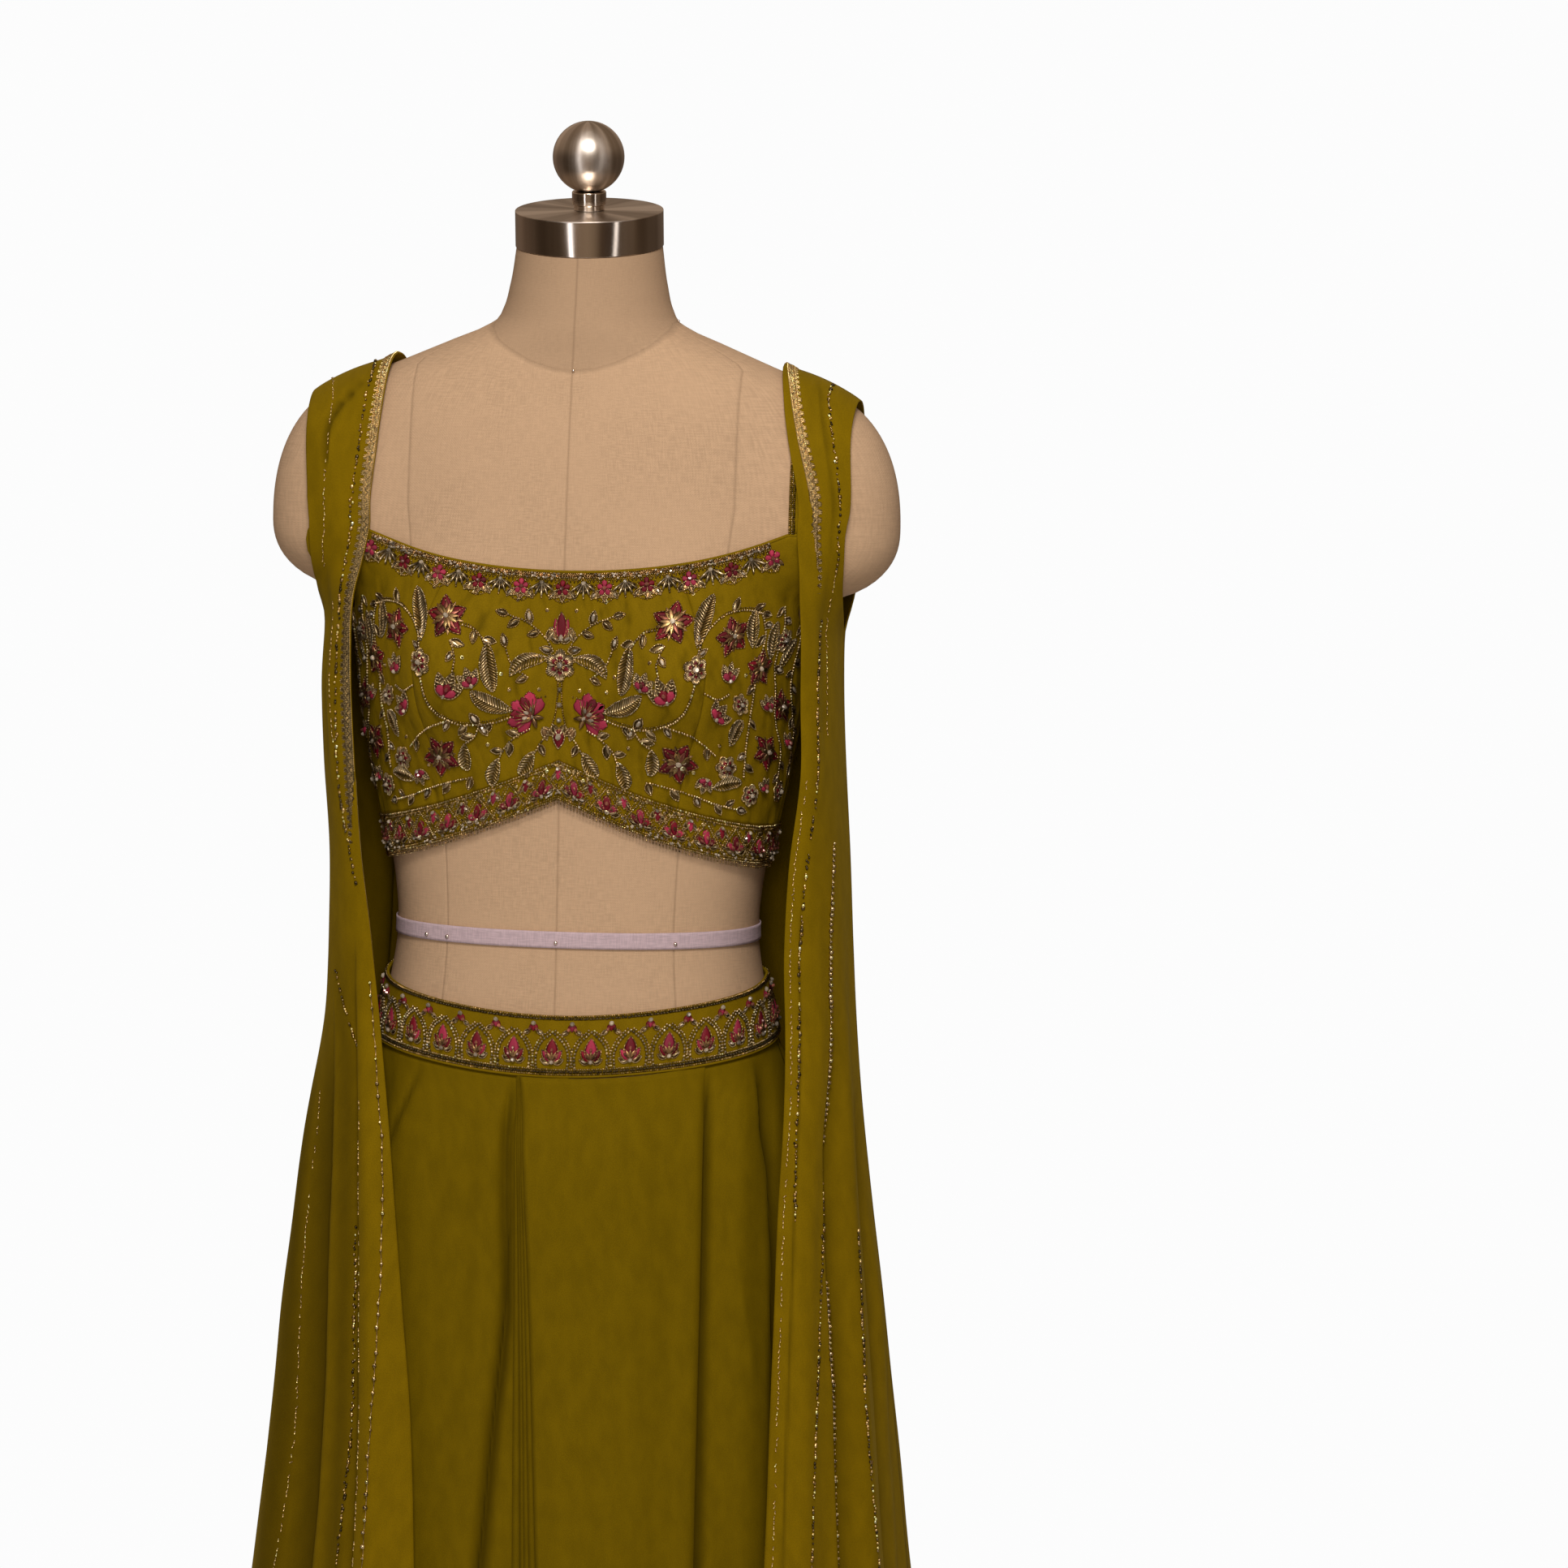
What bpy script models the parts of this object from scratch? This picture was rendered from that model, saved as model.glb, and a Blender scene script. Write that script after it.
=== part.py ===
"""Olive sari set on a limbless dress form: crop top, pleated skirt with a belt, long open jacket.

Metres, +Z up. The form faces -Y and +X is at the right of a viewer who stands in front of it.
The origin is the centre of the stand's underside. Every panel is worked out from the form's skin
or from a short table of sections, and what lies on a panel is that panel moved out.
"""
import math

import bpy
import numpy as np

# Layers, measured outwards from the form's skin
SEAM = 0.00025            # half of the gap that parts two sewn pieces
TOP_WALL = 0.0016
BODY_RADIUS = 0.12        # turns a seam's width into degrees round the body
TOP_OUT = 0.0029          # skin to the middle of the crop top's wall
STRAP_OUT = 0.0029
BELT_WALL = 0.0024
BELT_OUT = 0.0024
JACKET_WALL = 0.0012
JACKET_OUT = 0.0056       # least distance from the skin to the middle of the jacket's wall
TRIM_WALL = 0.0010
TRIM_OUT = 0.0019         # middle of the jacket's wall to the middle of the trim's wall
TAPE_WALL = 0.0010
TAPE_OUT = 0.0010

# Form: its torso by height
BODY = (
    # height, half_width, front, back, squareness
    (0.700, 0.150, 0.092, 0.112, 2.2),
    (0.770, 0.166, 0.102, 0.128, 2.2),
    (0.840, 0.167, 0.106, 0.130, 2.2),
    (0.900, 0.154, 0.104, 0.116, 2.2),
    (0.950, 0.140, 0.098, 0.098, 2.2),
    (0.990, 0.130, 0.093, 0.086, 2.2),
    (1.040, 0.1225, 0.090, 0.080, 2.2),
    (1.090, 0.1275, 0.089, 0.083, 2.2),
    (1.140, 0.137, 0.089, 0.090, 2.2),
    (1.200, 0.148, 0.087, 0.097, 2.25),
    (1.260, 0.154, 0.083, 0.102, 2.3),
    (1.320, 0.156, 0.078, 0.101, 2.3),
    (1.360, 0.157, 0.073, 0.094, 2.3),
    (1.384, 0.160, 0.069, 0.084, 2.2),
    (1.398, 0.157, 0.066, 0.076, 2.1),
    (1.409, 0.146, 0.064, 0.070, 2.0),
    (1.4185, 0.127, 0.062, 0.066, 2.0),
    (1.4275, 0.107, 0.060, 0.062, 2.0),
    (1.436, 0.0865, 0.059, 0.061, 2.0),
    (1.443, 0.0695, 0.058, 0.060, 2.0),
    (1.449, 0.0600, 0.056, 0.059, 2.0),
    (1.472, 0.0535, 0.052, 0.055, 2.0),
    (1.500, 0.0487, 0.0487, 0.0487, 2.0),
)
BUST = {"across": 0.083, "height": 1.215, "rise": 0.034, "wide": 0.046, "tall": 0.050}
STUB = {"across": 0.135, "height": 1.312, "wide": 0.078, "deep": 0.056,
        "low": 0.0505, "high": 0.096, "squareness": 2.3, "blend": 0.012}
TORSO_HEIGHTS = (
    0.700, 0.760, 0.820, 0.880, 0.930, 0.965, 0.990, 1.012, 1.0345, 1.0455, 1.070, 1.100, 1.125,
    1.147, 1.168, 1.188, 1.208, 1.228, 1.246, 1.257, 1.264, 1.271, 1.279, 1.289, 1.300, 1.313,
    1.335, 1.360,
    1.380, 1.393, 1.403, 1.411, 1.4185, 1.4255, 1.432, 1.439, 1.446, 1.455, 1.475, 1.4981,
)
QUARTER_TURNS = (0, 12, 24, 35, 45, 55, 63, 69, 72, 75.5, 83)
NECK_LEAN = math.radians(10.0)
NECK_LEAN_FROM, NECK_LEAN_TO = 1.452, 1.4981
TAPE_HEIGHTS = (1.0345, 1.0455)

# Neck cap, knob and stand
CAP = {"radius": 0.0497, "height": 0.024, "bottom": 1.4985, "bevel": 0.0012}
KNOB_COLLAR = {"radius": 0.0115, "height": 0.0125}
KNOB_RADIUS = 0.024
KNOB_SEAT = 0.0015        # how far the flat on the ball's underside cuts into it
POLE_RADIUS = 0.016
BASE = {"radius": 0.160, "height": 0.012, "collar_radius": 0.030, "collar_height": 0.026}
TOUCH = 0.0003

# Crop top
NECKLINE = {"middle": 1.283, "corner": 1.310, "corner_x": 0.1455, "power": 2.2}
ARMHOLE_LOW = 1.251
ARMHOLE_TURNS = (69.0, 75.5)  # degrees from centre front between which the armhole falls
BACK_NECKLINE = 1.268
BACK_CORNER = 1.286
HEM_PEAK, HEM_SIDE, HEM_BACK = 1.1335, 1.089, 1.087
HEM_REACH = 0.130         # distance from the centre at which the front hem stops falling
BAND_TALL = 0.026
PRINCESS = 45.0           # degrees from centre front
STRAP_X = (0.1385, 0.1455, 0.1525)
STRAP_CENTRE = 1.33       # height of the line that the straps and shoulders turn round
STRAP_STEPS = 15

# Belt and skirt
BELT_TOP = {"front": 0.990, "side": 1.010, "back": 1.018}
BELT_TALL = 0.040
SKIRT = (
    # height, half_width, front, back
    (0.025, 0.262, 0.185, 0.214),
    (0.250, 0.236, 0.163, 0.192),
    (0.500, 0.211, 0.143, 0.168),
    (0.700, 0.192, 0.127, 0.152),
    (0.780, 0.184, 0.119, 0.143),
    (0.850, 0.175, 0.113, 0.136),
    (0.905, 0.159, 0.110, 0.122),
    (0.940, 0.1475, 0.104, 0.106),
    (0.975, 0.1375, 0.099, 0.094),
    (1.000, 0.1325, 0.096, 0.089),
)
SKIRT_SQUARE = 2.2
SKIRT_WALL = 0.0010
SKIRT_HEM = 0.025
SKIRT_RADIUS = 0.20
SKIRT_BACK_COLUMNS = 29
SKIRT_DROPS = (0.0, 0.03, 0.08, 0.14, 0.21, 0.30, 0.41, 0.54, 0.69, 0.85, 1.0)
LAYER_TOP, LAYER_HEM = 0.0015, 0.0021     # distance between folded layers
PLEATS = (
    # x_at_belt, x_at_hem of each fold line, from the left seam to the right one
    (0.0120, 0.0040),
    (-0.0255, -0.0980),
    (0.0130, 0.0060),
    (-0.0225, -0.0700),
    (0.0140, 0.0080),
    (-0.0195, -0.0430),
    (0.1005, 0.1150),
    (0.0720, 0.0760),
)
PLEAT_STACK = 6           # layers under the centre panel at its left edge
PANEL_FLAT = (0.018, 0.090)   # the centre panel comes down from the stack between these x
SKIRT_WAVES = {"front": 3, "back": 9, "rise": 0.008}

# Jacket
JACKET = (
    # height, left_edge, right_edge, edge_front, left_side, right_side, arm_depth, back
    (1.310, 0.1347, 0.1535, 0.062, 0.1785, 0.1785, 0.053, 0.108),
    (1.287, 0.1370, 0.1554, 0.064, 0.1770, 0.1775, 0.047, 0.108),
    (1.268, 0.1400, 0.1560, 0.066, 0.1765, 0.1770, 0.034, 0.108),
    (1.254, 0.1414, 0.1565, 0.067, 0.1765, 0.1765, 0.015, 0.109),
    (1.240, 0.1412, 0.1570, 0.068, 0.1767, 0.1765, 0.000, 0.110),
    (1.200, 0.1400, 0.1575, 0.068, 0.1765, 0.1767, 0.000, 0.111),
    (1.150, 0.1375, 0.1586, 0.068, 0.1740, 0.1795, 0.000, 0.111),
    (1.090, 0.1334, 0.1516, 0.068, 0.1690, 0.1840, 0.000, 0.110),
    (1.035, 0.1265, 0.1502, 0.071, 0.1695, 0.1870, 0.000, 0.112),
    (0.980, 0.1195, 0.1572, 0.076, 0.1720, 0.1905, 0.000, 0.118),
    (0.925, 0.1125, 0.1568, 0.092, 0.1785, 0.1955, 0.000, 0.132),
    (0.860, 0.1055, 0.1537, 0.106, 0.1880, 0.2035, 0.000, 0.149),
    (0.790, 0.0975, 0.1535, 0.116, 0.1985, 0.2130, 0.000, 0.161),
    (0.715, 0.0900, 0.1535, 0.127, 0.2060, 0.2215, 0.000, 0.172),
    (0.600, 0.0820, 0.1530, 0.143, 0.2190, 0.2340, 0.000, 0.189),
    (0.450, 0.0740, 0.1520, 0.163, 0.2360, 0.2500, 0.000, 0.210),
    (0.280, 0.0670, 0.1500, 0.185, 0.2550, 0.2690, 0.000, 0.233),
    (0.080, 0.0600, 0.1480, 0.210, 0.2780, 0.2910, 0.000, 0.258),
)
SHOULDER = (
    # angle over the shoulder from the front, edge_x, arm_x, back_neck_x
    (90.0, 0.1315, 0.1815, 0.1315),
    (80.0, 0.1322, 0.1813, 0.1312),
    (69.0, 0.1328, 0.1811, 0.1300),
    (57.0, 0.1334, 0.1808, 0.1275),
    (44.0, 0.1339, 0.1805, 0.1220),
    (30.0, 0.1342, 0.1801, 0.1120),
    (15.0, 0.1344, 0.1796, 0.0930),
    (3.0, 0.1345, 0.1792, 0.0600),
    (-6.0, 0.1346, 0.1789, 0.0280),
)
JACKET_RIGHT_SHIFT = 0.017    # how far the right edge lies outside the left one below the chest
JACKET_ROUND = 0.85
BACK_ROUND = 0.95
SIDE_SEAM = 0.0004        # half of the gap at the jacket's side seams, whose walls meet at an angle
JACKET_FRONT_FOLDS = {"count": 4, "rise": 0.009}
JACKET_BACK_FOLDS = {"count": 6, "rise": 0.013}
FOLDS_FROM, FOLDS_TO = 1.20, 0.08
FRONT_SHARES = (0.0, 0.12, 0.25, 0.375, 0.5, 0.625, 0.75, 0.875, 1.0)
BACK_SHARES = (0.0, 0.07, 0.15, 0.24, 0.33, 0.42, 0.52, 0.62, 0.72, 0.82, 0.91, 1.0)
FRONT_BEND = 1.15         # length of a front's curved row over the straight line between its ends
TRIM_WIDE = 0.0075
TRIM_INSET = {-1: 0.0005, 1: 0.0085}      # from the jacket's edge, on the left and the right

COLOURS = {
    "cloth": ((0.150, 0.125, 0.006), 0.75, 0.0),
    "beads": ((0.210, 0.150, 0.040), 0.55, 0.0),
    "lace": ((0.420, 0.290, 0.090), 0.45, 0.4),
    "linen": ((0.520, 0.360, 0.220), 0.90, 0.0),
    "tape": ((0.430, 0.330, 0.360), 0.85, 0.0),
    "steel": ((0.420, 0.380, 0.340), 0.28, 1.0),
}


def through(value, places, amounts):
    """Cubic curve through the amounts at rising places, each slope taken from the neighbours."""
    places = np.asarray(places, float)
    amounts = np.asarray(amounts, float)
    slope = np.gradient(amounts, places)
    k = np.clip(np.searchsorted(places, value) - 1, 0, len(places) - 2)
    step = places[k + 1] - places[k]
    t = np.clip((value - places[k]) / step, 0.0, 1.0)
    start = (1 + 2 * t) * (1 - t) ** 2 * amounts[k] + t * (1 - t) ** 2 * step * slope[k]
    end = t * t * (3 - 2 * t) * amounts[k + 1] + t * t * (t - 1) * step * slope[k + 1]
    return start + end


def smooth_step(value):
    """0 below 0, 1 above 1, and level at both ends."""
    t = np.clip(value, 0.0, 1.0)
    return t * t * (3 - 2 * t)


def column(table, index):
    """One column of a table, with the rows put in rising order of their first column."""
    rows = sorted(table)
    return [row[0] for row in rows], [row[index] for row in rows]


def body(p):
    """Field that is 0 on the form's skin and grows outwards: torso and arm stubs, melted together."""
    x = np.abs(p[..., 0])
    y = p[..., 1]
    z = p[..., 2]
    half, front, back, square = (through(z, *column(BODY, k)) for k in (1, 2, 3, 4))
    bust = BUST["rise"] * np.exp(-((x - BUST["across"]) / BUST["wide"]) ** 2
                                 - ((z - BUST["height"]) / BUST["tall"]) ** 2)
    depth = np.where(y < 0, front + bust, back)
    ratio = ((x / half) ** square + (np.abs(y) / depth) ** square) ** (1 / square)
    torso = (ratio - 1) * 0.1
    rise = z - STUB["height"]
    tall = np.where(rise < 0, STUB["low"], STUB["high"])
    power = STUB["squareness"]
    ratio = ((np.abs(x - STUB["across"]) / STUB["wide"]) ** power
             + (np.abs(y) / STUB["deep"]) ** power + (np.abs(rise) / tall) ** power)
    stub = (ratio ** (1 / power) - 1) * STUB["deep"]
    mix = np.clip(0.5 + 0.5 * (stub - torso) / STUB["blend"], 0.0, 1.0)
    return stub * (1 - mix) + torso * mix - STUB["blend"] * mix * (1 - mix)


def slope_of_body(p):
    """Gradient of the body's field by small differences."""
    reach = 0.0005
    parts = []
    for axis in range(3):
        step = np.zeros(3)
        step[axis] = reach
        parts.append((body(p + step) - body(p - step)) / (2 * reach))
    return np.stack(parts, -1)


def skin(origin, direction, out=0.0):
    """Where a ray from inside the form leaves its skin, moved out along the skin's normal."""
    origin, direction = np.broadcast_arrays(origin, direction)
    near = np.zeros(origin.shape[:-1])
    far = np.full(origin.shape[:-1], 0.32)
    for _ in range(30):
        middle = (near + far) / 2
        inside = body(origin + direction * middle[..., None]) < 0
        near = np.where(inside, middle, near)
        far = np.where(inside, far, middle)
    p = origin + direction * near[..., None]
    normal = slope_of_body(p)
    return p + normal / np.linalg.norm(normal, axis=-1, keepdims=True) * out


def round_form(degrees, height, out=0.0):
    """Point beside the form at a turn from centre front towards +X, at a height."""
    turn = np.radians(degrees)
    turn, height = np.broadcast_arrays(turn, height)
    origin = np.stack([0 * turn, 0 * turn, height], -1)
    direction = np.stack([np.sin(turn), -np.cos(turn), 0 * turn], -1)
    return skin(origin, direction, out)


def over_shoulder(x, degrees, out=0.0):
    """Point over the shoulder at x: 0 degrees is level at the front, 90 on top, 180 behind."""
    lift = np.radians(degrees)
    x, lift = np.broadcast_arrays(x, lift)
    origin = np.stack([x, 0 * lift, 0 * lift + STRAP_CENTRE], -1)
    direction = np.stack([0 * lift, -np.cos(lift), np.sin(lift)], -1)
    return skin(origin, direction, out)


def kept_clear(p, out):
    """Points moved out, where they need it, to lie at least this far from the form's skin."""
    for _ in range(4):
        slope = slope_of_body(p)
        size = np.linalg.norm(slope, axis=-1, keepdims=True)
        short = np.maximum(out - body(p)[..., None] / size, 0.0)
        p = p + slope / size * short
    return p


def material(name):
    """The named finish as a Principled material."""
    colour, rough, metal = COLOURS[name]
    made = bpy.data.materials.new(name)
    made.use_nodes = True
    shader = made.node_tree.nodes["Principled BSDF"]
    shader.inputs["Base Color"].default_value = (*colour, 1.0)
    shader.inputs["Roughness"].default_value = rough
    shader.inputs["Metallic"].default_value = metal
    made.diffuse_color = (*colour, 1.0)
    return made


def put(name, vertices, faces, finish, smooth_angle=50.0):
    """Object from vertices and faces, in the set's collection, with its own material."""
    mesh = bpy.data.meshes.new(name)
    mesh.from_pydata([tuple(v) for v in vertices], [], faces)
    mesh.materials.append(material(finish))
    mesh.shade_smooth()
    mesh.set_sharp_from_angle(angle=math.radians(smooth_angle))
    made = bpy.data.objects.new(name, mesh)
    bpy.data.collections["sari_set"].objects.link(made)
    return made


def grid_faces(rows, columns, closed=False):
    """Quads of a grid of points whose rows run left to right and whose columns run downwards."""
    faces = []
    for r in range(rows - 1):
        for c in range(columns if closed else columns - 1):
            right = (c + 1) % columns
            faces.append((r * columns + c, (r + 1) * columns + c,
                          (r + 1) * columns + right, r * columns + right))
    return faces


def panel(name, points, wall, finish, closed=False, outward=1.0):
    """Cloth wall about a grid of points: rows go down, columns to the wearer's left, +X in front."""
    points = np.asarray(points)
    rows, columns = points.shape[:2]
    faces = grid_faces(rows, columns, closed)
    if outward < 0:
        faces = [tuple(reversed(face)) for face in faces]
    made = put(name, points.reshape(-1, 3), faces, finish)
    wall_modifier = made.modifiers.new("wall", "SOLIDIFY")
    wall_modifier.thickness = wall
    wall_modifier.offset = 0.0
    return made


def turned(name, profile, finish, steps, place=(0, 0, 0), lean=0.0):
    """Solid of revolution from a profile of radius and height that runs down its outer side."""
    mesh = bpy.data.meshes.new(name)
    mesh.from_pydata([(r, 0.0, z) for r, z in profile], [(k, k + 1) for k in range(len(profile) - 1)], [])
    mesh.materials.append(material(finish))
    made = bpy.data.objects.new(name, mesh)
    bpy.data.collections["sari_set"].objects.link(made)
    screw = made.modifiers.new("turn", "SCREW")
    screw.steps = steps
    screw.render_steps = steps
    screw.use_merge_vertices = True
    screw.merge_threshold = 0.00001
    made.location = place
    made.rotation_euler = (lean, 0.0, 0.0)
    return made


def leaned(p):
    """The neck's upper end tipped forwards to meet the cap."""
    share = smooth_step((p[..., 2] - NECK_LEAN_FROM) / (NECK_LEAN_TO - NECK_LEAN_FROM))
    tipped = p.copy()
    tipped[..., 2] += math.tan(NECK_LEAN) * p[..., 1] * share
    return tipped


def ring_turns(first=0.0, last=359.9):
    """Turns of the columns that the torso, the tape, the crop top and the belt share, in order.

    They lie closer together beside the arms. Centre front is 0 and the right side is 90.
    """
    quarter = np.array(QUARTER_TURNS)
    half = np.concatenate([quarter, [90.0], 180.0 - quarter[:0:-1]])
    turns = np.concatenate([half - 360.0, half - 180.0, half, half + 180.0])
    return turns[(turns > first - 0.01) & (turns < last + 0.01)]


def make_torso():
    """Whole form: rings of its skin with a flat underside and a tipped flat neck."""
    turns = ring_turns()
    rings = leaned(round_form(turns[None, :], np.array(TORSO_HEIGHTS[::-1])[:, None]))
    rows = len(TORSO_HEIGHTS)
    around = len(turns)
    faces = grid_faces(rows, around, closed=True)
    faces.append(tuple(range(around)))
    faces.append(tuple(reversed(range((rows - 1) * around, rows * around))))
    put("form_torso", rings.reshape(-1, 3), faces, "linen")
    tape = round_form(turns[None, :], np.array(TAPE_HEIGHTS[::-1])[:, None], TAPE_OUT)
    panel("waist_tape", tape, TAPE_WALL, "tape", closed=True)


def make_neck_fittings():
    """Steel cap on the neck, tipped forwards with it, and the knob on its collar."""
    r, tall, b = CAP["radius"], CAP["height"], CAP["bevel"]
    cap = ((0, tall), (r - b, tall), (r, tall - b), (r, b), (r - b, 0), (0, 0))
    turned("neck_cap", cap, "steel", 40, (0, 0, CAP["bottom"]), NECK_LEAN)

    def along(rise):
        return (0, -math.sin(NECK_LEAN) * rise, CAP["bottom"] + math.cos(NECK_LEAN) * rise)

    r, h = KNOB_COLLAR["radius"], KNOB_COLLAR["height"]
    turned("knob_collar", ((0, h), (r, h), (r, 0), (0, 0)), "steel", 20, along(tall + TOUCH), NECK_LEAN)
    flat = math.acos(1 - KNOB_SEAT / KNOB_RADIUS)
    angles = np.linspace(0.0, math.pi - flat, 11)
    ball = [(KNOB_RADIUS * math.sin(a), KNOB_RADIUS * math.cos(a)) for a in angles]
    ball.append((0.0, ball[-1][1]))
    centre = tall + h + 2 * TOUCH + KNOB_RADIUS - KNOB_SEAT
    turned("knob_ball", ball, "steel", 20, along(centre), NECK_LEAN)


def make_stand():
    """Round base, collar and pole up to the form's underside."""
    r, h = BASE["radius"], BASE["height"]
    turned("stand_base", ((0, h), (r - 0.004, h), (r, h - 0.004), (r, 0), (0, 0)), "steel", 40)
    low = h + TOUCH
    outer, tall = BASE["collar_radius"], BASE["collar_height"]
    inner = POLE_RADIUS + TOUCH
    ring = ((inner, tall), (outer - 0.006, tall), (outer, tall - 0.008), (outer, 0), (inner, 0),
            (inner, tall))
    turned("base_collar", ring, "steel", 20, (0, 0, low))
    top = BODY[0][0] - TOUCH - low
    turned("stand_pole", ((0, top), (POLE_RADIUS, top), (POLE_RADIUS, 0), (0, 0)), "steel", 20,
           (0, 0, low))


def top_hem(p):
    """Height of the crop top's hem beside a point: a peak at centre front, level behind."""
    x = np.abs(p[..., 0])
    fall = np.clip(x / HEM_REACH, 0.0, 1.0)
    front = HEM_PEAK - (HEM_PEAK - HEM_SIDE) * (1.25 * fall - 0.25 * fall ** 2.5)
    side = smooth_step((p[..., 1] + 0.03) / 0.06)
    return front * (1 - side) + HEM_BACK * side


def top_upper(degrees):
    """Height of the crop top's upper edge at a turn: scooped neckline, low armhole, level back."""
    turn = np.abs((np.asarray(degrees, float) + 180.0) % 360.0 - 180.0)
    x = np.abs(round_form(turn, 0 * turn + NECKLINE["corner"])[..., 0])
    reach = np.clip(x / NECKLINE["corner_x"], 0.0, 1.0)
    neck = NECKLINE["middle"] + (NECKLINE["corner"] - NECKLINE["middle"]) * reach ** NECKLINE["power"]
    back = BACK_NECKLINE + (BACK_CORNER - BACK_NECKLINE) * reach ** NECKLINE["power"]
    first, last = ARMHOLE_TURNS
    beside_arm = np.minimum(turn, 180.0 - turn)
    low = smooth_step((beside_arm - first) / (last - first))
    return np.where(turn < 90.0, neck, back) * (1 - low) + ARMHOLE_LOW * low


def make_top_piece(name, first, last, lower, upper, rows, finish):
    """Piece of the crop top between two turns and two edges, SEAM short of every seam."""
    turns = ring_turns(first, last)
    trim = math.degrees(SEAM / BODY_RADIUS)
    turns[0] += trim
    turns[-1] -= trim
    beside = round_form(turns, 0 * turns + HEM_PEAK)
    hem = top_hem(beside)
    low = hem if lower == "hem" else hem + BAND_TALL + SEAM
    high = top_upper(turns) if upper == "edge" else hem + BAND_TALL - SEAM
    share = np.linspace(0.0, 1.0, rows)[:, None]
    panel(name, round_form(turns[None, :], high + (low - high) * share, TOP_OUT), TOP_WALL, finish)


def strap_turns(x, front_height, back_height):
    """Turns over the shoulder at which a strap leaves the front and reaches the back."""
    front = np.zeros_like(x) - 10.0
    back = np.zeros_like(x) + 200.0
    for _ in range(25):
        front -= 600.0 * (over_shoulder(x, front, STRAP_OUT)[..., 2] - front_height)
        back += 600.0 * (over_shoulder(x, back, STRAP_OUT)[..., 2] - back_height)
    return front, back


def make_top():
    """Crop top: princess-line front, back, hem bands and shoulder straps."""
    make_top_piece("top_front", -PRINCESS, PRINCESS, "band", "edge", 9, "beads")
    make_top_piece("top_side_right", PRINCESS, 90.0, "band", "edge", 9, "beads")
    make_top_piece("top_side_left", -90.0, -PRINCESS, "band", "edge", 9, "beads")
    make_top_piece("top_back", 90.0, 270.0, "band", "edge", 9, "cloth")
    make_top_piece("top_band_front", -90.0, 90.0, "hem", "band", 3, "beads")
    make_top_piece("top_band_back", 90.0, 270.0, "hem", "band", 3, "beads")
    x = np.array(STRAP_X)
    front, back = strap_turns(x, NECKLINE["corner"] + 2 * SEAM, BACK_CORNER + 2 * SEAM)
    share = np.linspace(0.0, 1.0, STRAP_STEPS)[:, None]
    for name, side in (("top_strap_left", -1.0), ("top_strap_right", 1.0)):
        points = over_shoulder(x, front + (back - front) * share, STRAP_OUT)
        points[..., 0] *= side
        panel(name, points, TOP_WALL, "beads", outward=-side)


def belt_top(turn):
    """Height of the belt's upper edge, which dips at the front."""
    front = 0.5 + 0.5 * np.cos(np.radians(turn))
    side = BELT_TOP["side"]
    return np.where(front > 0.5, side + (BELT_TOP["front"] - side) * (2 * front - 1),
                    side + (BELT_TOP["back"] - side) * (1 - 2 * front))


def make_belt():
    """Embroidered waistband in a front and a back half."""
    trim = math.degrees(SEAM / BODY_RADIUS)
    for name, first in (("belt_front", -90.0), ("belt_back", 90.0)):
        turns = ring_turns(first, first + 180.0)
        turns[0] += trim
        turns[-1] -= trim
        heights = belt_top(turns) - BELT_TALL * np.array([0.0, 0.5, 1.0])[:, None]
        panel(name, round_form(turns[None, :], heights, BELT_OUT), BELT_WALL, "beads")


def skirt_ring(turn, height, out):
    """Point beside the skirt's section at a turn from centre front, moved out square to it."""
    half, front, back = (through(height, *column(SKIRT, k)) for k in (1, 2, 3))
    sine, cosine = np.sin(turn), np.cos(turn)
    depth = np.where(cosine > 0, front, back)
    power = 2 / SKIRT_SQUARE
    x = half * np.sign(sine) * np.abs(sine) ** power
    y = -depth * np.sign(cosine) * np.abs(cosine) ** power
    nx = np.sign(x) * np.abs(x / half) ** (SKIRT_SQUARE - 1) / half
    ny = np.sign(y) * np.abs(y / depth) ** (SKIRT_SQUARE - 1) / depth
    size = np.hypot(nx, ny)
    return np.stack([x + nx / size * out, y + ny / size * out, height + 0 * x], -1)


def skirt_height(turn, drop):
    """Height at a share of the way from the belt's lower edge to the hem."""
    beside = skirt_ring(turn, BELT_TOP["front"] - BELT_TALL, 0.0)
    around = np.degrees(np.arctan2(beside[..., 0], -beside[..., 1]))
    top = belt_top(around) - BELT_TALL - 2 * SEAM
    return top + (SKIRT_HEM - top) * drop


def turn_at(x, half):
    """The turn at which the skirt's front section crosses x."""
    return np.sign(x) * np.arcsin(np.clip(np.abs(x) / half, 0.0, 1.0) ** (SKIRT_SQUARE / 2))


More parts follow.
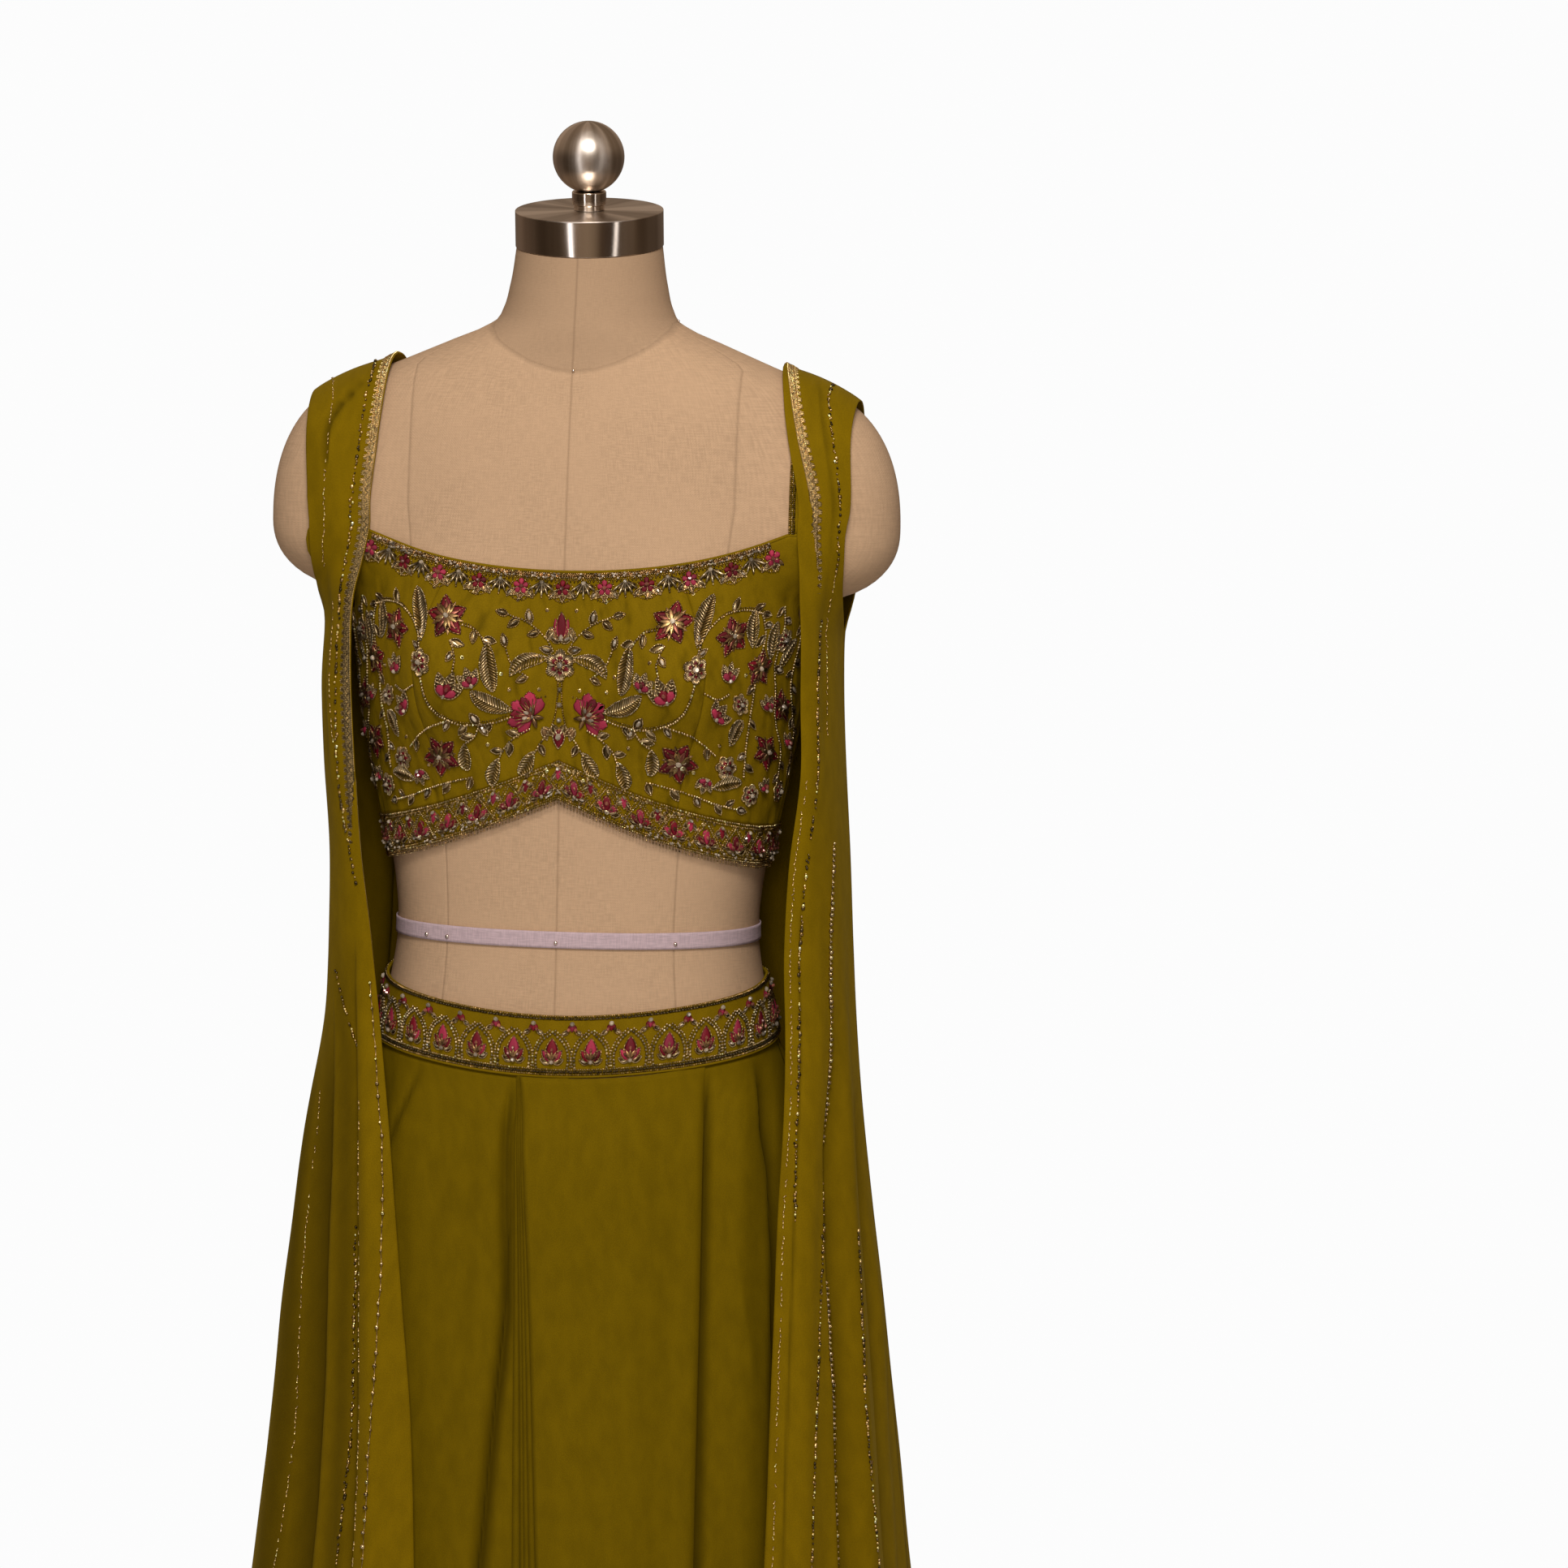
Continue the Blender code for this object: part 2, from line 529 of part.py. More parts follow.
def pleat_path(drop):
    """x and layer of each column across the folded front, at a share of the skirt's drop.

    The cloth runs right under the stack, turns back at each fold line in turn and climbs one
    layer each time, crosses as the centre panel, then turns under twice at its right edge.
    """
    gap = LAYER_TOP + (LAYER_HEM - LAYER_TOP) * drop
    folds = [top + (hem - top) * drop ** 1.15 for top, hem in PLEATS]
    bend = np.radians(np.array([-90.0, -30.0, 30.0, 90.0]))
    xs, layers = [], []
    layer = 0.0
    for k, fold in enumerate(folds):
        heading = 1.0 if k % 2 == 0 else -1.0
        climb = 1.0 if k < PLEAT_STACK else -1.0
        if k == PLEAT_STACK:
            inner = np.linspace(xs[-1], fold - gap / 2, 8)[1:-1]
            down = smooth_step((inner - PANEL_FLAT[0]) / (PANEL_FLAT[1] - PANEL_FLAT[0]))
            xs.extend(inner)
            layers.extend(PLEAT_STACK + (2.0 - PLEAT_STACK) * down)
            layer = 2.0
        elif k > 0:
            inner = np.linspace(xs[-1], fold - heading * gap / 2, 4)[1:-1]
            xs.extend(inner)
            layers.extend(layer + 0 * inner)
        xs.extend(fold - heading * gap / 2 + heading * gap / 2 * np.cos(bend))
        layers.extend(layer + climb * (0.5 + 0.5 * np.sin(bend)))
        layer += climb
    return np.array(xs), np.array(layers), gap


def skirt_wave(turn, drop):
    """Soft folds that grow from the hip to the hem, none at the side seams."""
    front = np.sin(turn * 2 * SKIRT_WAVES["front"]) * smooth_step((np.abs(np.sin(turn)) - 0.6) / 0.3)
    back = np.cos(turn * SKIRT_WAVES["back"])
    wave = np.where(np.cos(turn) > 0, front, back) * np.minimum(1.0, 3.0 * np.abs(np.cos(turn)))
    return SKIRT_WAVES["rise"] * wave * smooth_step((drop - 0.1) / 0.9)


def make_skirt():
    """Skirt front with its folded pleats, and a gathered back."""
    rows = []
    for drop in SKIRT_DROPS:
        xs, layers, gap = pleat_path(drop)
        half = through(skirt_height(turn_at(xs, SKIRT_RADIUS), drop), *column(SKIRT, 1))
        folded = turn_at(xs, half)
        seam = math.pi / 2 - SEAM / SKIRT_RADIUS
        left = np.linspace(-seam, folded[0], 9)[:-1]
        right = np.linspace(folded[-1], seam, 9)[1:]
        turn = np.concatenate([left, folded, right])
        layer = np.concatenate([0 * left, layers, 0 * right])
        wave = skirt_wave(turn, drop)
        wave[len(left):-len(right)] = 0.0
        rows.append(skirt_ring(turn, skirt_height(turn, drop), layer * gap + wave))
    panel("skirt_front", rows, SKIRT_WALL, "cloth")
    trim = SEAM / SKIRT_RADIUS
    turn = np.linspace(math.pi / 2 + trim, 1.5 * math.pi - trim, SKIRT_BACK_COLUMNS)
    rows = [skirt_ring(turn, skirt_height(turn, d), skirt_wave(turn, d)) for d in SKIRT_DROPS]
    panel("skirt_back", rows, SKIRT_WALL, "cloth")


def jacket_guides(side, part):
    """Inner edge, outer edge and roundness of each row of a jacket panel, shoulder to hem.

    The inner edge is the front edge, or behind the neckline and then the centre back seam. The
    outer edge is the armhole and then the side seam. Rows start at the shoulder seam.
    """
    sign = -1.0 if part == "front" else 1.0
    inner, outer, roundness = [], [], []
    right = 1 if side > 0 else 0
    for angle, edge, arm, neck in SHOULDER:
        turn = angle if part == "front" else 180.0 - angle
        shift = JACKET_RIGHT_SHIFT * right * smooth_step((60.0 - angle) / 80.0)
        x = edge + shift if part == "front" else neck
        pair = over_shoulder(np.array([x, arm]), turn, JACKET_OUT)
        if angle == SHOULDER[0][0]:
            pair[:, 1] += sign * SEAM
        inner.append(pair[0] * (side, 1, 1))
        outer.append(pair[1] * (side, 1, 1))
        roundness.append(0.0 if part == "front" else BACK_ROUND * smooth_step((60.0 - angle) / 75.0))
    for height, left_edge, right_edge, edge_front, left_side, right_side, arm, back in JACKET:
        wide = right_side if right else left_side
        if part == "front":
            inner.append(np.array([side * (right_edge if right else left_edge), -edge_front, height]))
            roundness.append(JACKET_ROUND * smooth_step((1.31 - height) / 0.11))
        else:
            inner.append(np.array([side * SIDE_SEAM, back, height]))
            roundness.append(BACK_ROUND)
        outer.append(np.array([side * wide, sign * max(arm, SIDE_SEAM), height]))
    return np.array(inner), np.array(outer), np.array(roundness)


def jacket_surface(side, part, share, out=0.0):
    """Points of a jacket panel: share 0 is its inner edge and 1 its outer, one column each.

    Each row is a curve bent towards the corner of its two guides, with folds that grow
    downwards, kept clear of the form and moved out by the given distance.
    """
    inner, outer, roundness = (a[:, None] for a in jacket_guides(side, part))
    s = np.asarray(share)
    if s.ndim == 1:
        s = s[None, :]
    s = s[..., None]
    corner = (inner + outer) / 2
    edge = np.stack([outer[..., 0], inner[..., 1], corner[..., 2]], -1)
    corner = corner + (edge - corner) * roundness[..., None]
    p = (1 - s) ** 2 * inner + 2 * s * (1 - s) * corner + s * s * outer
    folds = JACKET_FRONT_FOLDS if part == "front" else JACKET_BACK_FOLDS
    grow = smooth_step((FOLDS_FROM - p[..., 2]) / (FOLDS_FROM - FOLDS_TO))
    lift = folds["rise"] * grow * np.sin(math.pi * folds["count"] * s[..., 0])
    away = p * (1.0, 1.0, 0.0)
    p = p + away / np.linalg.norm(away, axis=-1, keepdims=True) * lift[..., None]
    p = kept_clear(p, JACKET_OUT)
    if out:
        p = p + facing(side, part, p) * out
    return p


def facing(side, part, p):
    """Outward directions at the points of a strip, from its neighbours along and across."""
    down = np.gradient(p, axis=0)
    across = np.gradient(p, axis=1)
    normal = np.cross(down, across)
    normal /= np.linalg.norm(normal, axis=-1, keepdims=True)
    return normal * (side if part == "front" else -side)


def side_name(side):
    """left is the side at a viewer's left."""
    return "left" if side < 0 else "right"


def make_jacket():
    """Sleeveless open jacket: two fronts, two backs, and lace along the front edges and neck."""
    for side in (-1, 1):
        for part, shares in (("front", FRONT_SHARES), ("back", BACK_SHARES)):
            points = jacket_surface(side, part, shares)
            panel(f"jacket_{part}_{side_name(side)}", points, JACKET_WALL, "cloth",
                  outward=side if part == "front" else -side)
        inner, outer, _ = jacket_guides(side, "front")
        length = np.linalg.norm(outer - inner, axis=-1)[:, None] * FRONT_BEND
        inset = TRIM_INSET[side]
        share = (inset + TRIM_WIDE * np.array([0.0, 0.5, 1.0])) / length
        points = jacket_surface(side, "front", share, TRIM_OUT)
        panel(f"jacket_trim_{side_name(side)}", points, TRIM_WALL, "lace", outward=side)
        rows = len(SHOULDER) + 1
        inner, outer, _ = jacket_guides(side, "back")
        length = np.linalg.norm(outer - inner, axis=-1)[:, None]
        share = (TRIM_INSET[-1] + TRIM_WIDE * np.array([0.0, 0.5, 1.0])) / length
        points = jacket_surface(side, "back", share, TRIM_OUT)[:rows]
        panel(f"neck_trim_{side_name(side)}", points, TRIM_WALL, "lace", outward=-side)


def main():
    """Empty the file, then build the form, its stand and the three garments."""
    for old in list(bpy.data.objects):
        bpy.data.objects.remove(old, do_unlink=True)
    bpy.context.scene.collection.children.link(bpy.data.collections.new("sari_set"))
    make_torso()
    make_neck_fittings()
    make_stand()
    make_top()
    make_belt()
    make_skirt()
    make_jacket()


main()
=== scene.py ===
"""Looks of the olive sari set on its dress form: cloth, beadwork, linen, steel, light and camera.

Metres, +Z up. The form faces -Y and +X is at the viewer's right. Each cloth is a surface worked out
from the form's skin or a table of sections. Beadwork is laid on it in its own distances, in mm.
"""
import math

import bpy
import numpy as np
from mathutils import Matrix


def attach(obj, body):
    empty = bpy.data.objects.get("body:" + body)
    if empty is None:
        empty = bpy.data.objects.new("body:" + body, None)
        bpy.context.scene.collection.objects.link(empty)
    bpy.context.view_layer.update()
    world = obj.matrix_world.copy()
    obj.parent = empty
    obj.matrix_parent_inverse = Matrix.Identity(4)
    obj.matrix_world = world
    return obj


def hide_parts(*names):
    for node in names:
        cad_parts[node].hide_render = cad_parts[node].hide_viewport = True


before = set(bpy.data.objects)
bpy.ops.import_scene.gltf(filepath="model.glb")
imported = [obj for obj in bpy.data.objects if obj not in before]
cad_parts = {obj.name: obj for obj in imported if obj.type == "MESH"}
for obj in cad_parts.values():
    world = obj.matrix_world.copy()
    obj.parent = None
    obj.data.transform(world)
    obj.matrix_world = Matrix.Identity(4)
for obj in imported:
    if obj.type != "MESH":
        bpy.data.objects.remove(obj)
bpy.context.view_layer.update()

MM = 0.001

# Form: its torso by height
BODY = (
    # height, half_width, front, back, squareness
    (0.7, 0.15, 0.092, 0.112, 2.2),
    (0.77, 0.166, 0.102, 0.128, 2.2),
    (0.84, 0.167, 0.106, 0.13, 2.2),
    (0.9, 0.154, 0.104, 0.116, 2.2),
    (0.95, 0.14, 0.098, 0.098, 2.2),
    (0.99, 0.13, 0.093, 0.086, 2.2),
    (1.04, 0.1225, 0.09, 0.08, 2.2),
    (1.09, 0.1275, 0.089, 0.083, 2.2),
    (1.14, 0.137, 0.089, 0.09, 2.2),
    (1.2, 0.148, 0.087, 0.097, 2.25),
    (1.26, 0.154, 0.083, 0.102, 2.3),
    (1.32, 0.156, 0.078, 0.101, 2.3),
    (1.36, 0.157, 0.073, 0.094, 2.3),
    (1.384, 0.16, 0.069, 0.084, 2.2),
    (1.398, 0.157, 0.066, 0.076, 2.1),
    (1.409, 0.146, 0.064, 0.07, 2.0),
    (1.4185, 0.127, 0.062, 0.066, 2.0),
    (1.4275, 0.107, 0.06, 0.062, 2.0),
    (1.436, 0.0865, 0.059, 0.061, 2.0),
    (1.443, 0.0695, 0.058, 0.06, 2.0),
    (1.449, 0.0608, 0.0563, 0.0588, 2.0),
    (1.456, 0.057, 0.0547, 0.0572, 2.0),
    (1.472, 0.0528, 0.052, 0.054, 2.0),
    (1.5, 0.0487, 0.0487, 0.0487, 2.0),
)
BUST = {"across": 0.083, "height": 1.215, "rise": 0.034, "wide": 0.046, "tall": 0.05}
STUB = {"across": 0.135, "height": 1.312, "wide": 0.078, "deep": 0.056,
        "low": 0.0505, "high": 0.096, "squareness": 2.3, "blend": 0.012}
FORM_FOOT, FORM_NECK = 0.7, 1.4981
LINEN_RADIUS = 0.12       # turns degrees round the form into places on the linen
NECK_LEAN = math.radians(10.0)
NECK_LEAN_FROM = 1.452
NECK_SEAM = ((0, 1.4155), (13, 1.417), (26, 1.4215), (40, 1.4297), (54, 1.4394), (75, 1.4475),
        (90, 1.449), (135, 1.446), (180, 1.443))
PRINCESS_SEAM = ((0.7, 46), (1.04, 46), (1.12, 47), (1.2, 52), (1.29, 58.4), (1.325, 61.0))
SEAM_STRAIGHT_TO = 1.42
TAPE_HEIGHTS = (1.0345, 1.0455)
TAPE_OUT, TAPE_WALL = 0.001, 0.0007
TAPE_PINS = (-54.5, -45.3, 0.0, 46.2)      # turns from centre front, in degrees

# Neck cap, knob and stand
CAP = {"radius": 0.0497, "height": 0.024, "bottom": 1.4985, "bevel": 0.0004}
KNOB_COLLAR = {"radius": 0.0115, "height": 0.0125}
KNOB_RADIUS = 0.024
KNOB_SEAT = 0.0015
POLE_RADIUS = 0.016
BASE = {"radius": 0.16, "height": 0.012, "collar_radius": 0.03, "collar_height": 0.026}
TOUCH = 0.0003

# Crop top
SEAM = 0.00025
TOP_OUT = 0.0027
TOP_WALL = 0.0012
STRAP_OUT = 0.0024
NECKLINE = {"middle": 1.283, "corner": 1.31, "corner_x": 0.1455, "power": 2.2}
ARMHOLE_LOW = 1.251
ARMHOLE_TURNS = (73.5, 79.0)
BACK_NECKLINE = 1.268
BACK_CORNER = 1.286
HEM_PEAK, HEM_SIDE, HEM_BACK = 1.1335, 1.089, 1.087
HEM_REACH = 0.13
BAND_TALL = 0.026
PRINCESS = 45.0
STRAP_X = (0.1455, 0.1585)
STRAP_CENTRE = 1.33

# Belt and skirt
BELT_OUT = 0.0024
BELT_WALL = 0.0016
BELT_TOP = {"front": 0.99, "side": 1.01, "back": 1.018}
BELT_TALL = 0.04
SKIRT = (
    # height, half_width, front, back
    (0.025, 0.262, 0.185, 0.214),
    (0.25, 0.236, 0.163, 0.192),
    (0.5, 0.211, 0.143, 0.168),
    (0.7, 0.192, 0.127, 0.152),
    (0.78, 0.184, 0.119, 0.143),
    (0.85, 0.175, 0.113, 0.136),
    (0.905, 0.159, 0.11, 0.122),
    (0.94, 0.1475, 0.104, 0.106),
    (0.975, 0.1375, 0.099, 0.094),
    (1.0, 0.1325, 0.096, 0.089),
)
SKIRT_SQUARE = 2.2
SKIRT_WALL = 0.0005
SKIRT_CLEAR = 0.001       # least distance from the form
SKIRT_HEM = 0.025
SKIRT_RADIUS = 0.2
LAYER_TOP, LAYER_HEM = 0.0006, 0.0013
SKIRT_TUCK = 0.003
PLEATS = (
    # x_at_belt, x_at_hem, bend of each fold line, from the left seam to the right one
    (0.012, 0.036, 1.0),
    (-0.0238, -0.0013, 0.9),
    (0.01, 0.04, 0.8),
    (-0.0226, 0.0105, 0.85),
    (0.011, 0.044, 0.8),
    (-0.0214, 0.015, 0.82),
    (0.012, 0.047, 0.8),
    (-0.0206, 0.021, 0.78),
    (0.013, 0.049, 0.8),
    (-0.02, 0.03, 0.76),
    (0.1005, 0.108, 1.0),
    (0.072, 0.076, 1.0),
)
PLEAT_STACK = 10
# Places across each strip of the pleat stack, and the painted shadow there, deepest beside the next fold.
STRIP_PLACES = np.array((0.3, 0.55, 0.75, 0.9, 1.05))
STRIP_SHADES = (0.1, 0.2, 0.55, 0.95, 1.0)
PANEL_FLAT = (0.047, 0.096)
SKIRT_WAVES = {"front": 3, "back": 9, "rise": 0.008}
# Drapes of the skirt front: each raises or sinks the cloth about a path, with painted shade along it.
DRAPES = (
    # path of (share of the drop, x in mm), width to its left and right, rise, all in mm, and painted shade
    (((0.0, -26), (0.05, -29), (0.13, -27), (0.17, -25.5), (0.205, -28), (0.256, -32.5), (0.5, -48), (1.0, -82)),
     3.5, 4.5, -7.5, 0.7),
    (((0.09, -24.5), (0.13, -27), (0.17, -27.5), (0.205, -30), (0.256, -34), (0.5, -50), (1.0, -84)),
     0.9, 1.4, -1.6, 1.0),
    (((0.0, -40), (0.2, -42), (0.256, -47), (1.0, -110)), 12.0, 9.0, 2.5, 0.0),
    (((0.0, -91), (0.015, -96), (0.05, -109), (0.08, -118)), 3.0, 2.5, -2.5, 0.6),
    (((0.0, -120), (0.256, -126), (1.0, -170)), 9.0, 7.0, -3.5, 0.35),
    (((0.0, -12), (0.05, -7), (0.13, -2), (0.256, 6), (1.0, 40)), 5.0, 8.0, 1.6, 0.0),
    (((0.0, 40), (1.0, 62)), 14.0, 14.0, -1.2, 0.12),
    (((0.0, 94), (1.0, 101)), 7.0, 5.0, 1.6, 0.0),
    (((0.0, 102.0), (0.256, 105.0), (1.0, 111)), 2.5, 3.6, -6.0, 0.9),
    (((0.0, 120), (0.256, 131), (1.0, 165)), 10.0, 12.0, 5.5, 0.0),
    (((0.08, 113), (0.105, 116), (0.19, 131), (0.24, 138)), 2.0, 3.0, 1.2, 0.0),
    (((0.0, 131), (0.05, 135), (0.08, 142), (0.14, 147), (0.3, 152), (1.0, 192)), 1.6, 6.0, -5.0, 0.9),
)

# Jacket
JACKET_WALL = 0.0009
JACKET_OUT = 0.0054
JACKET_CLEAR = 0.004      # distance from the skirt's plain section
JACKET_ROW = 0.0072       # from row to row down a panel
JACKET = (
    # height, left_edge, right_edge, edge_front, left_side, right_side, arm_depth, back
    (1.31, 0.1352, 0.1518, 0.062, 0.1767, 0.1827, 0.053, 0.108),
    (1.287, 0.1393, 0.154, 0.064, 0.176, 0.1811, 0.047, 0.108),
    (1.268, 0.1438, 0.1552, 0.066, 0.176, 0.1795, 0.034, 0.108),
    (1.254, 0.1454, 0.1562, 0.067, 0.1762, 0.178, 0.015, 0.109),
    (1.24, 0.1457, 0.157, 0.068, 0.1767, 0.1765, 0.0, 0.11),
    (1.2, 0.145, 0.1575, 0.068, 0.1765, 0.1767, 0.0, 0.111),
    (1.15, 0.1419, 0.1586, 0.068, 0.174, 0.1795, 0.0, 0.111),
    (1.09, 0.137, 0.1516, 0.068, 0.169, 0.184, 0.0, 0.11),
    (1.035, 0.129, 0.1502, 0.071, 0.1695, 0.187, 0.0, 0.112),
    (0.98, 0.1205, 0.1528, 0.076, 0.172, 0.1905, 0.0, 0.118),
    (0.925, 0.1115, 0.1542, 0.092, 0.1785, 0.1955, 0.0, 0.132),
    (0.86, 0.103, 0.1537, 0.106, 0.188, 0.2035, 0.0, 0.149),
    (0.79, 0.0945, 0.1535, 0.116, 0.1985, 0.213, 0.0, 0.161),
    (0.715, 0.0862, 0.1535, 0.127, 0.206, 0.2215, 0.0, 0.172),
    (0.6, 0.079, 0.153, 0.143, 0.219, 0.234, 0.0, 0.189),
    (0.45, 0.0725, 0.152, 0.163, 0.236, 0.25, 0.0, 0.21),
    (0.28, 0.0665, 0.15, 0.185, 0.255, 0.269, 0.0, 0.233),
    (0.08, 0.06, 0.148, 0.21, 0.278, 0.291, 0.0, 0.258),
)
SHOULDER = (
    # angle over the shoulder from the front, left_edge_x, right_edge_x, arm_x, back_neck_x
    (90.0, 0.127, 0.1315, 0.1815, 0.1315),
    (80.0, 0.1268, 0.1322, 0.1813, 0.1312),
    (69.0, 0.1266, 0.1328, 0.1811, 0.13),
    (57.0, 0.1276, 0.1334, 0.1808, 0.1275),
    (44.0, 0.1297, 0.1339, 0.1805, 0.122),
    (30.0, 0.1315, 0.1342, 0.1801, 0.112),
    (15.0, 0.1333, 0.1344, 0.1796, 0.093),
    (3.0, 0.1345, 0.1345, 0.1792, 0.06),
    (-6.0, 0.135, 0.1346, 0.1789, 0.028),
)
JACKET_RIGHT_SHIFT = 0.017
ARM_SHIFT = (-0.0018, 0.0042)      # of the left and the right armhole in front and behind, outwards
JACKET_ROUND = 0.85
BACK_ROUND = 0.95
SIDE_SEAM = 0.0003
JACKET_FRONT_FOLDS = {"count": 4, "rise": 0.009}
JACKET_BACK_FOLDS = {"count": 6, "rise": 0.013}
FOLDS_FROM, FOLDS_TO = 1.2, 0.08
LACE_WIDE, LACE_WALL = 5.2, 0.0004
LACE_DOWN = (0.0, 35.0, 68.0, 100.0, 160.0)
LACE_INSET = {-1: (0.3, 0.3, 0.3, 0.3, 0.3), 1: (1.6, 4.0, 6.0, 7.4, 8.2)}      # at those places, in mm
BACK_INSET = (0.4, 0.4, 0.4, 0.4, 0.4)
LACE_TURNS_UNDER = {-1: (310.0, 350.0), 1: (110.0, 165.0)}
STITCH_LINES = {
    # kind, then (distance from the front edge, distance down it) in mm along the line
    -1: (
        ("chain", ((16, 4), (13, 25), (13.5, 60), (12.5, 100), (13, 151), (13, 206), (12, 260), (14, 314),
            (8, 366), (6, 388))),
        ("flecks", ((48, 6), (38, 60), (35, 95), (32, 141), (31, 174))),
        ("flecks", ((22, 201), (17, 293))),
        ("chain", ((38, 448), (33, 482), (26, 524))),
        ("knots", ((4, 455), (5, 516), (6, 570), (10, 629), (17, 683), (25, 736), (36, 860), (50, 1000),
                   (64, 1160), (78, 1370))),
        ("flecks", ((20, 537), (31, 640), (35, 714), (56, 1000), (72, 1370))),
        ("chain", ((42, 622), (45, 664), (52, 736), (74, 900), (100, 1100), (128, 1370))),
        ("flecks", ((80, 533), (90, 600), (99, 671), (108, 748), (136, 900), (168, 1120), (205, 1370))),
    ),
    1: (
        ("chain", ((36, 4), (32, 40), (30.5, 80), (28, 120), (27, 166))),
        ("flecks", ((27, 166), (31, 222), (29, 276))),
        ("chain", ((22, 200), (14, 240), (13, 301), (12, 360), (10, 441), (9, 506), (10, 571), (12, 598))),
        ("flecks", ((4, 300), (4, 420), (4, 560), (5, 720), (6, 1000), (6, 1370))),
        ("beads", ((39, 350), (37, 438), (37, 548))),
        ("chain", ((37, 548), (38, 600), (36, 660), (34, 725), (32, 900), (30, 1100), (28, 1370))),
        ("beads", ((44, 642), (47, 690), (53, 725), (70, 900), (92, 1100), (116, 1370))),
        ("chain", ((76, 610), (80, 687), (84, 729), (112, 900), (150, 1100), (185, 1370))),
    ),
}

# Beadwork on the crop top, right half, in mm: across from centre front and height
STEMS = (
    ((5, 1231), (9, 1238), (15, 1244), (24, 1250), (36, 1254)),
    ((4, 1183), (8, 1177), (13, 1170), (17, 1163)),
    ((20, 1180), (29, 1175), (37, 1167), (41, 1158)),
    ((29, 1189), (42, 1185), (58, 1183), (74, 1186), (86, 1193), (93, 1203), (97, 1214)),
    ((97, 1230), (99, 1240), (105, 1250), (114, 1257), (128, 1260), (142, 1258)),
    ((66, 1246), (59, 1244), (53, 1238), (50, 1230)),
    ((53, 1184), (57, 1175), (64, 1170)),
    ((74, 1186), (88, 1181), (99, 1174), (107, 1166)),
    ((60, 1147), (76, 1143), (92, 1138), (108, 1132), (124, 1128)),
    ((142, 1258), (149, 1244), (150, 1228), (147, 1206), (140, 1188), (133, 1170), (130, 1150)),
    ((160, 1262), (165, 1248), (166, 1228), (168, 1208), (165, 1186), (168, 1160), (164, 1142)),
    ((185, 1250), (188, 1228), (186, 1204), (188, 1180), (184, 1156)),
    ((105, 1207), (115, 1203), (124, 1206)),
    ((74, 1236), (71, 1226), (73, 1216)),
    ((22, 1214), (33, 1222), (37, 1233)),
)
STARS = (
    # across, height, radius, turn
    (77, 1251, 14.5, 12), (122, 1243, 13.5, 40), (81, 1161, 14.5, 60), (152, 1222, 12.5, 20),
    (152, 1166, 13.0, 50), (174, 1196, 12.0, 10),
)
ROSETTES = ((97, 1222, 8.5), (116, 1157, 8.0), (136, 1137, 7.5), (134, 1199, 7.0),
        (168, 1240, 7.5), (168, 1138, 7.5))
HEARTS = (
    # across, height, size, turn
    (78, 1201, 17.0, 112), (110, 1190, 15.0, 38), (60, 1208, 12.5, 70), (124, 1214, 13.0, 80),
    (101, 1150, 11.0, 250), (160, 1194, 11.0, 100), (176, 1168, 11.0, 60), (150, 1139, 10.0, 100),
)
THREAD_LEAVES = (
    # base across, base height, tip across, tip height, width, bend
    (9, 1227, 34, 1215, 9.5, 8.5),
    (50, 1236, 45, 1205, 11.5, 3.0),
    (32, 1192, 60, 1205, 10.5, -4.0),
    (96, 1236, 102, 1270, 11.5, 3.0),
    (17, 1165, 27, 1150, 9.0, -2.5),
    (41, 1160, 46, 1142, 9.0, 2.0),
    (120, 1172, 134, 1188, 9.0, 3.0),
    (106, 1143, 128, 1146, 8.5, 3.0),
    (141, 1236, 135, 1260, 9.0, 2.0),
    (64, 1170, 62, 1152, 8.5, 2.0),
    (161, 1228, 157, 1252, 9.0, 3.0),
    (172, 1222, 182, 1240, 8.5, 2.0),
)
GLINTS = ((30, 1264), (60, 1268), (88, 1270), (40, 1216), (92, 1154), (112, 1172), (48, 1170), (140, 1218),
        (124, 1176), (144, 1176), (10, 1258), (14, 1206), (66, 1226), (34, 1206))

# Borders, in mm
NECK_PITCH = 28.0
BAND_PITCH = 23.5
ARCH_COUNT = 15           # arches in each half of the belt
LACE_PITCH = 5.4
BEAD_SEAT = 0.0001        # metres that beads are sunk into the cloth
STITCH_PITCH = {"flecks": 3.4, "chain": 1.9, "beads": 3.6, "knots": 8.6}
RED_OR_PINK = ("crimson", "pink")
HALVES = (("front", -90.0), ("back", 90.0))     # turn at which each half of a band starts

TINTS = {
    "gold": (0.42, 0.27, 0.1),
    "pale_gold": (0.52, 0.37, 0.175),
    "bright_gold": (0.92, 0.64, 0.27),
    "old_gold": (0.17, 0.105, 0.035),
    "bronze": (0.31, 0.175, 0.072),
    "leaf": (0.62, 0.46, 0.25),
    "silver": (0.5, 0.39, 0.24),
    "smoke": (0.12, 0.085, 0.04),
    "crimson": (0.16, 0.003, 0.01),
    "pink": (0.34, 0.022, 0.052),
    "clear": (0.5, 0.4, 0.29),
    "rose": (0.26, 0.085, 0.055),
}

# Photograph's viewpoint: 1932 pixels square, focal length in pixels
PHOTO_PIXELS = 1932
CAMERA = {"azimuth": 9.5, "distance": 4.0, "height": 1.5, "focal_px": 7320.0,
        "yaw_px": 251.0, "pitch": -5.168, "roll": 1.1}


# Shapes


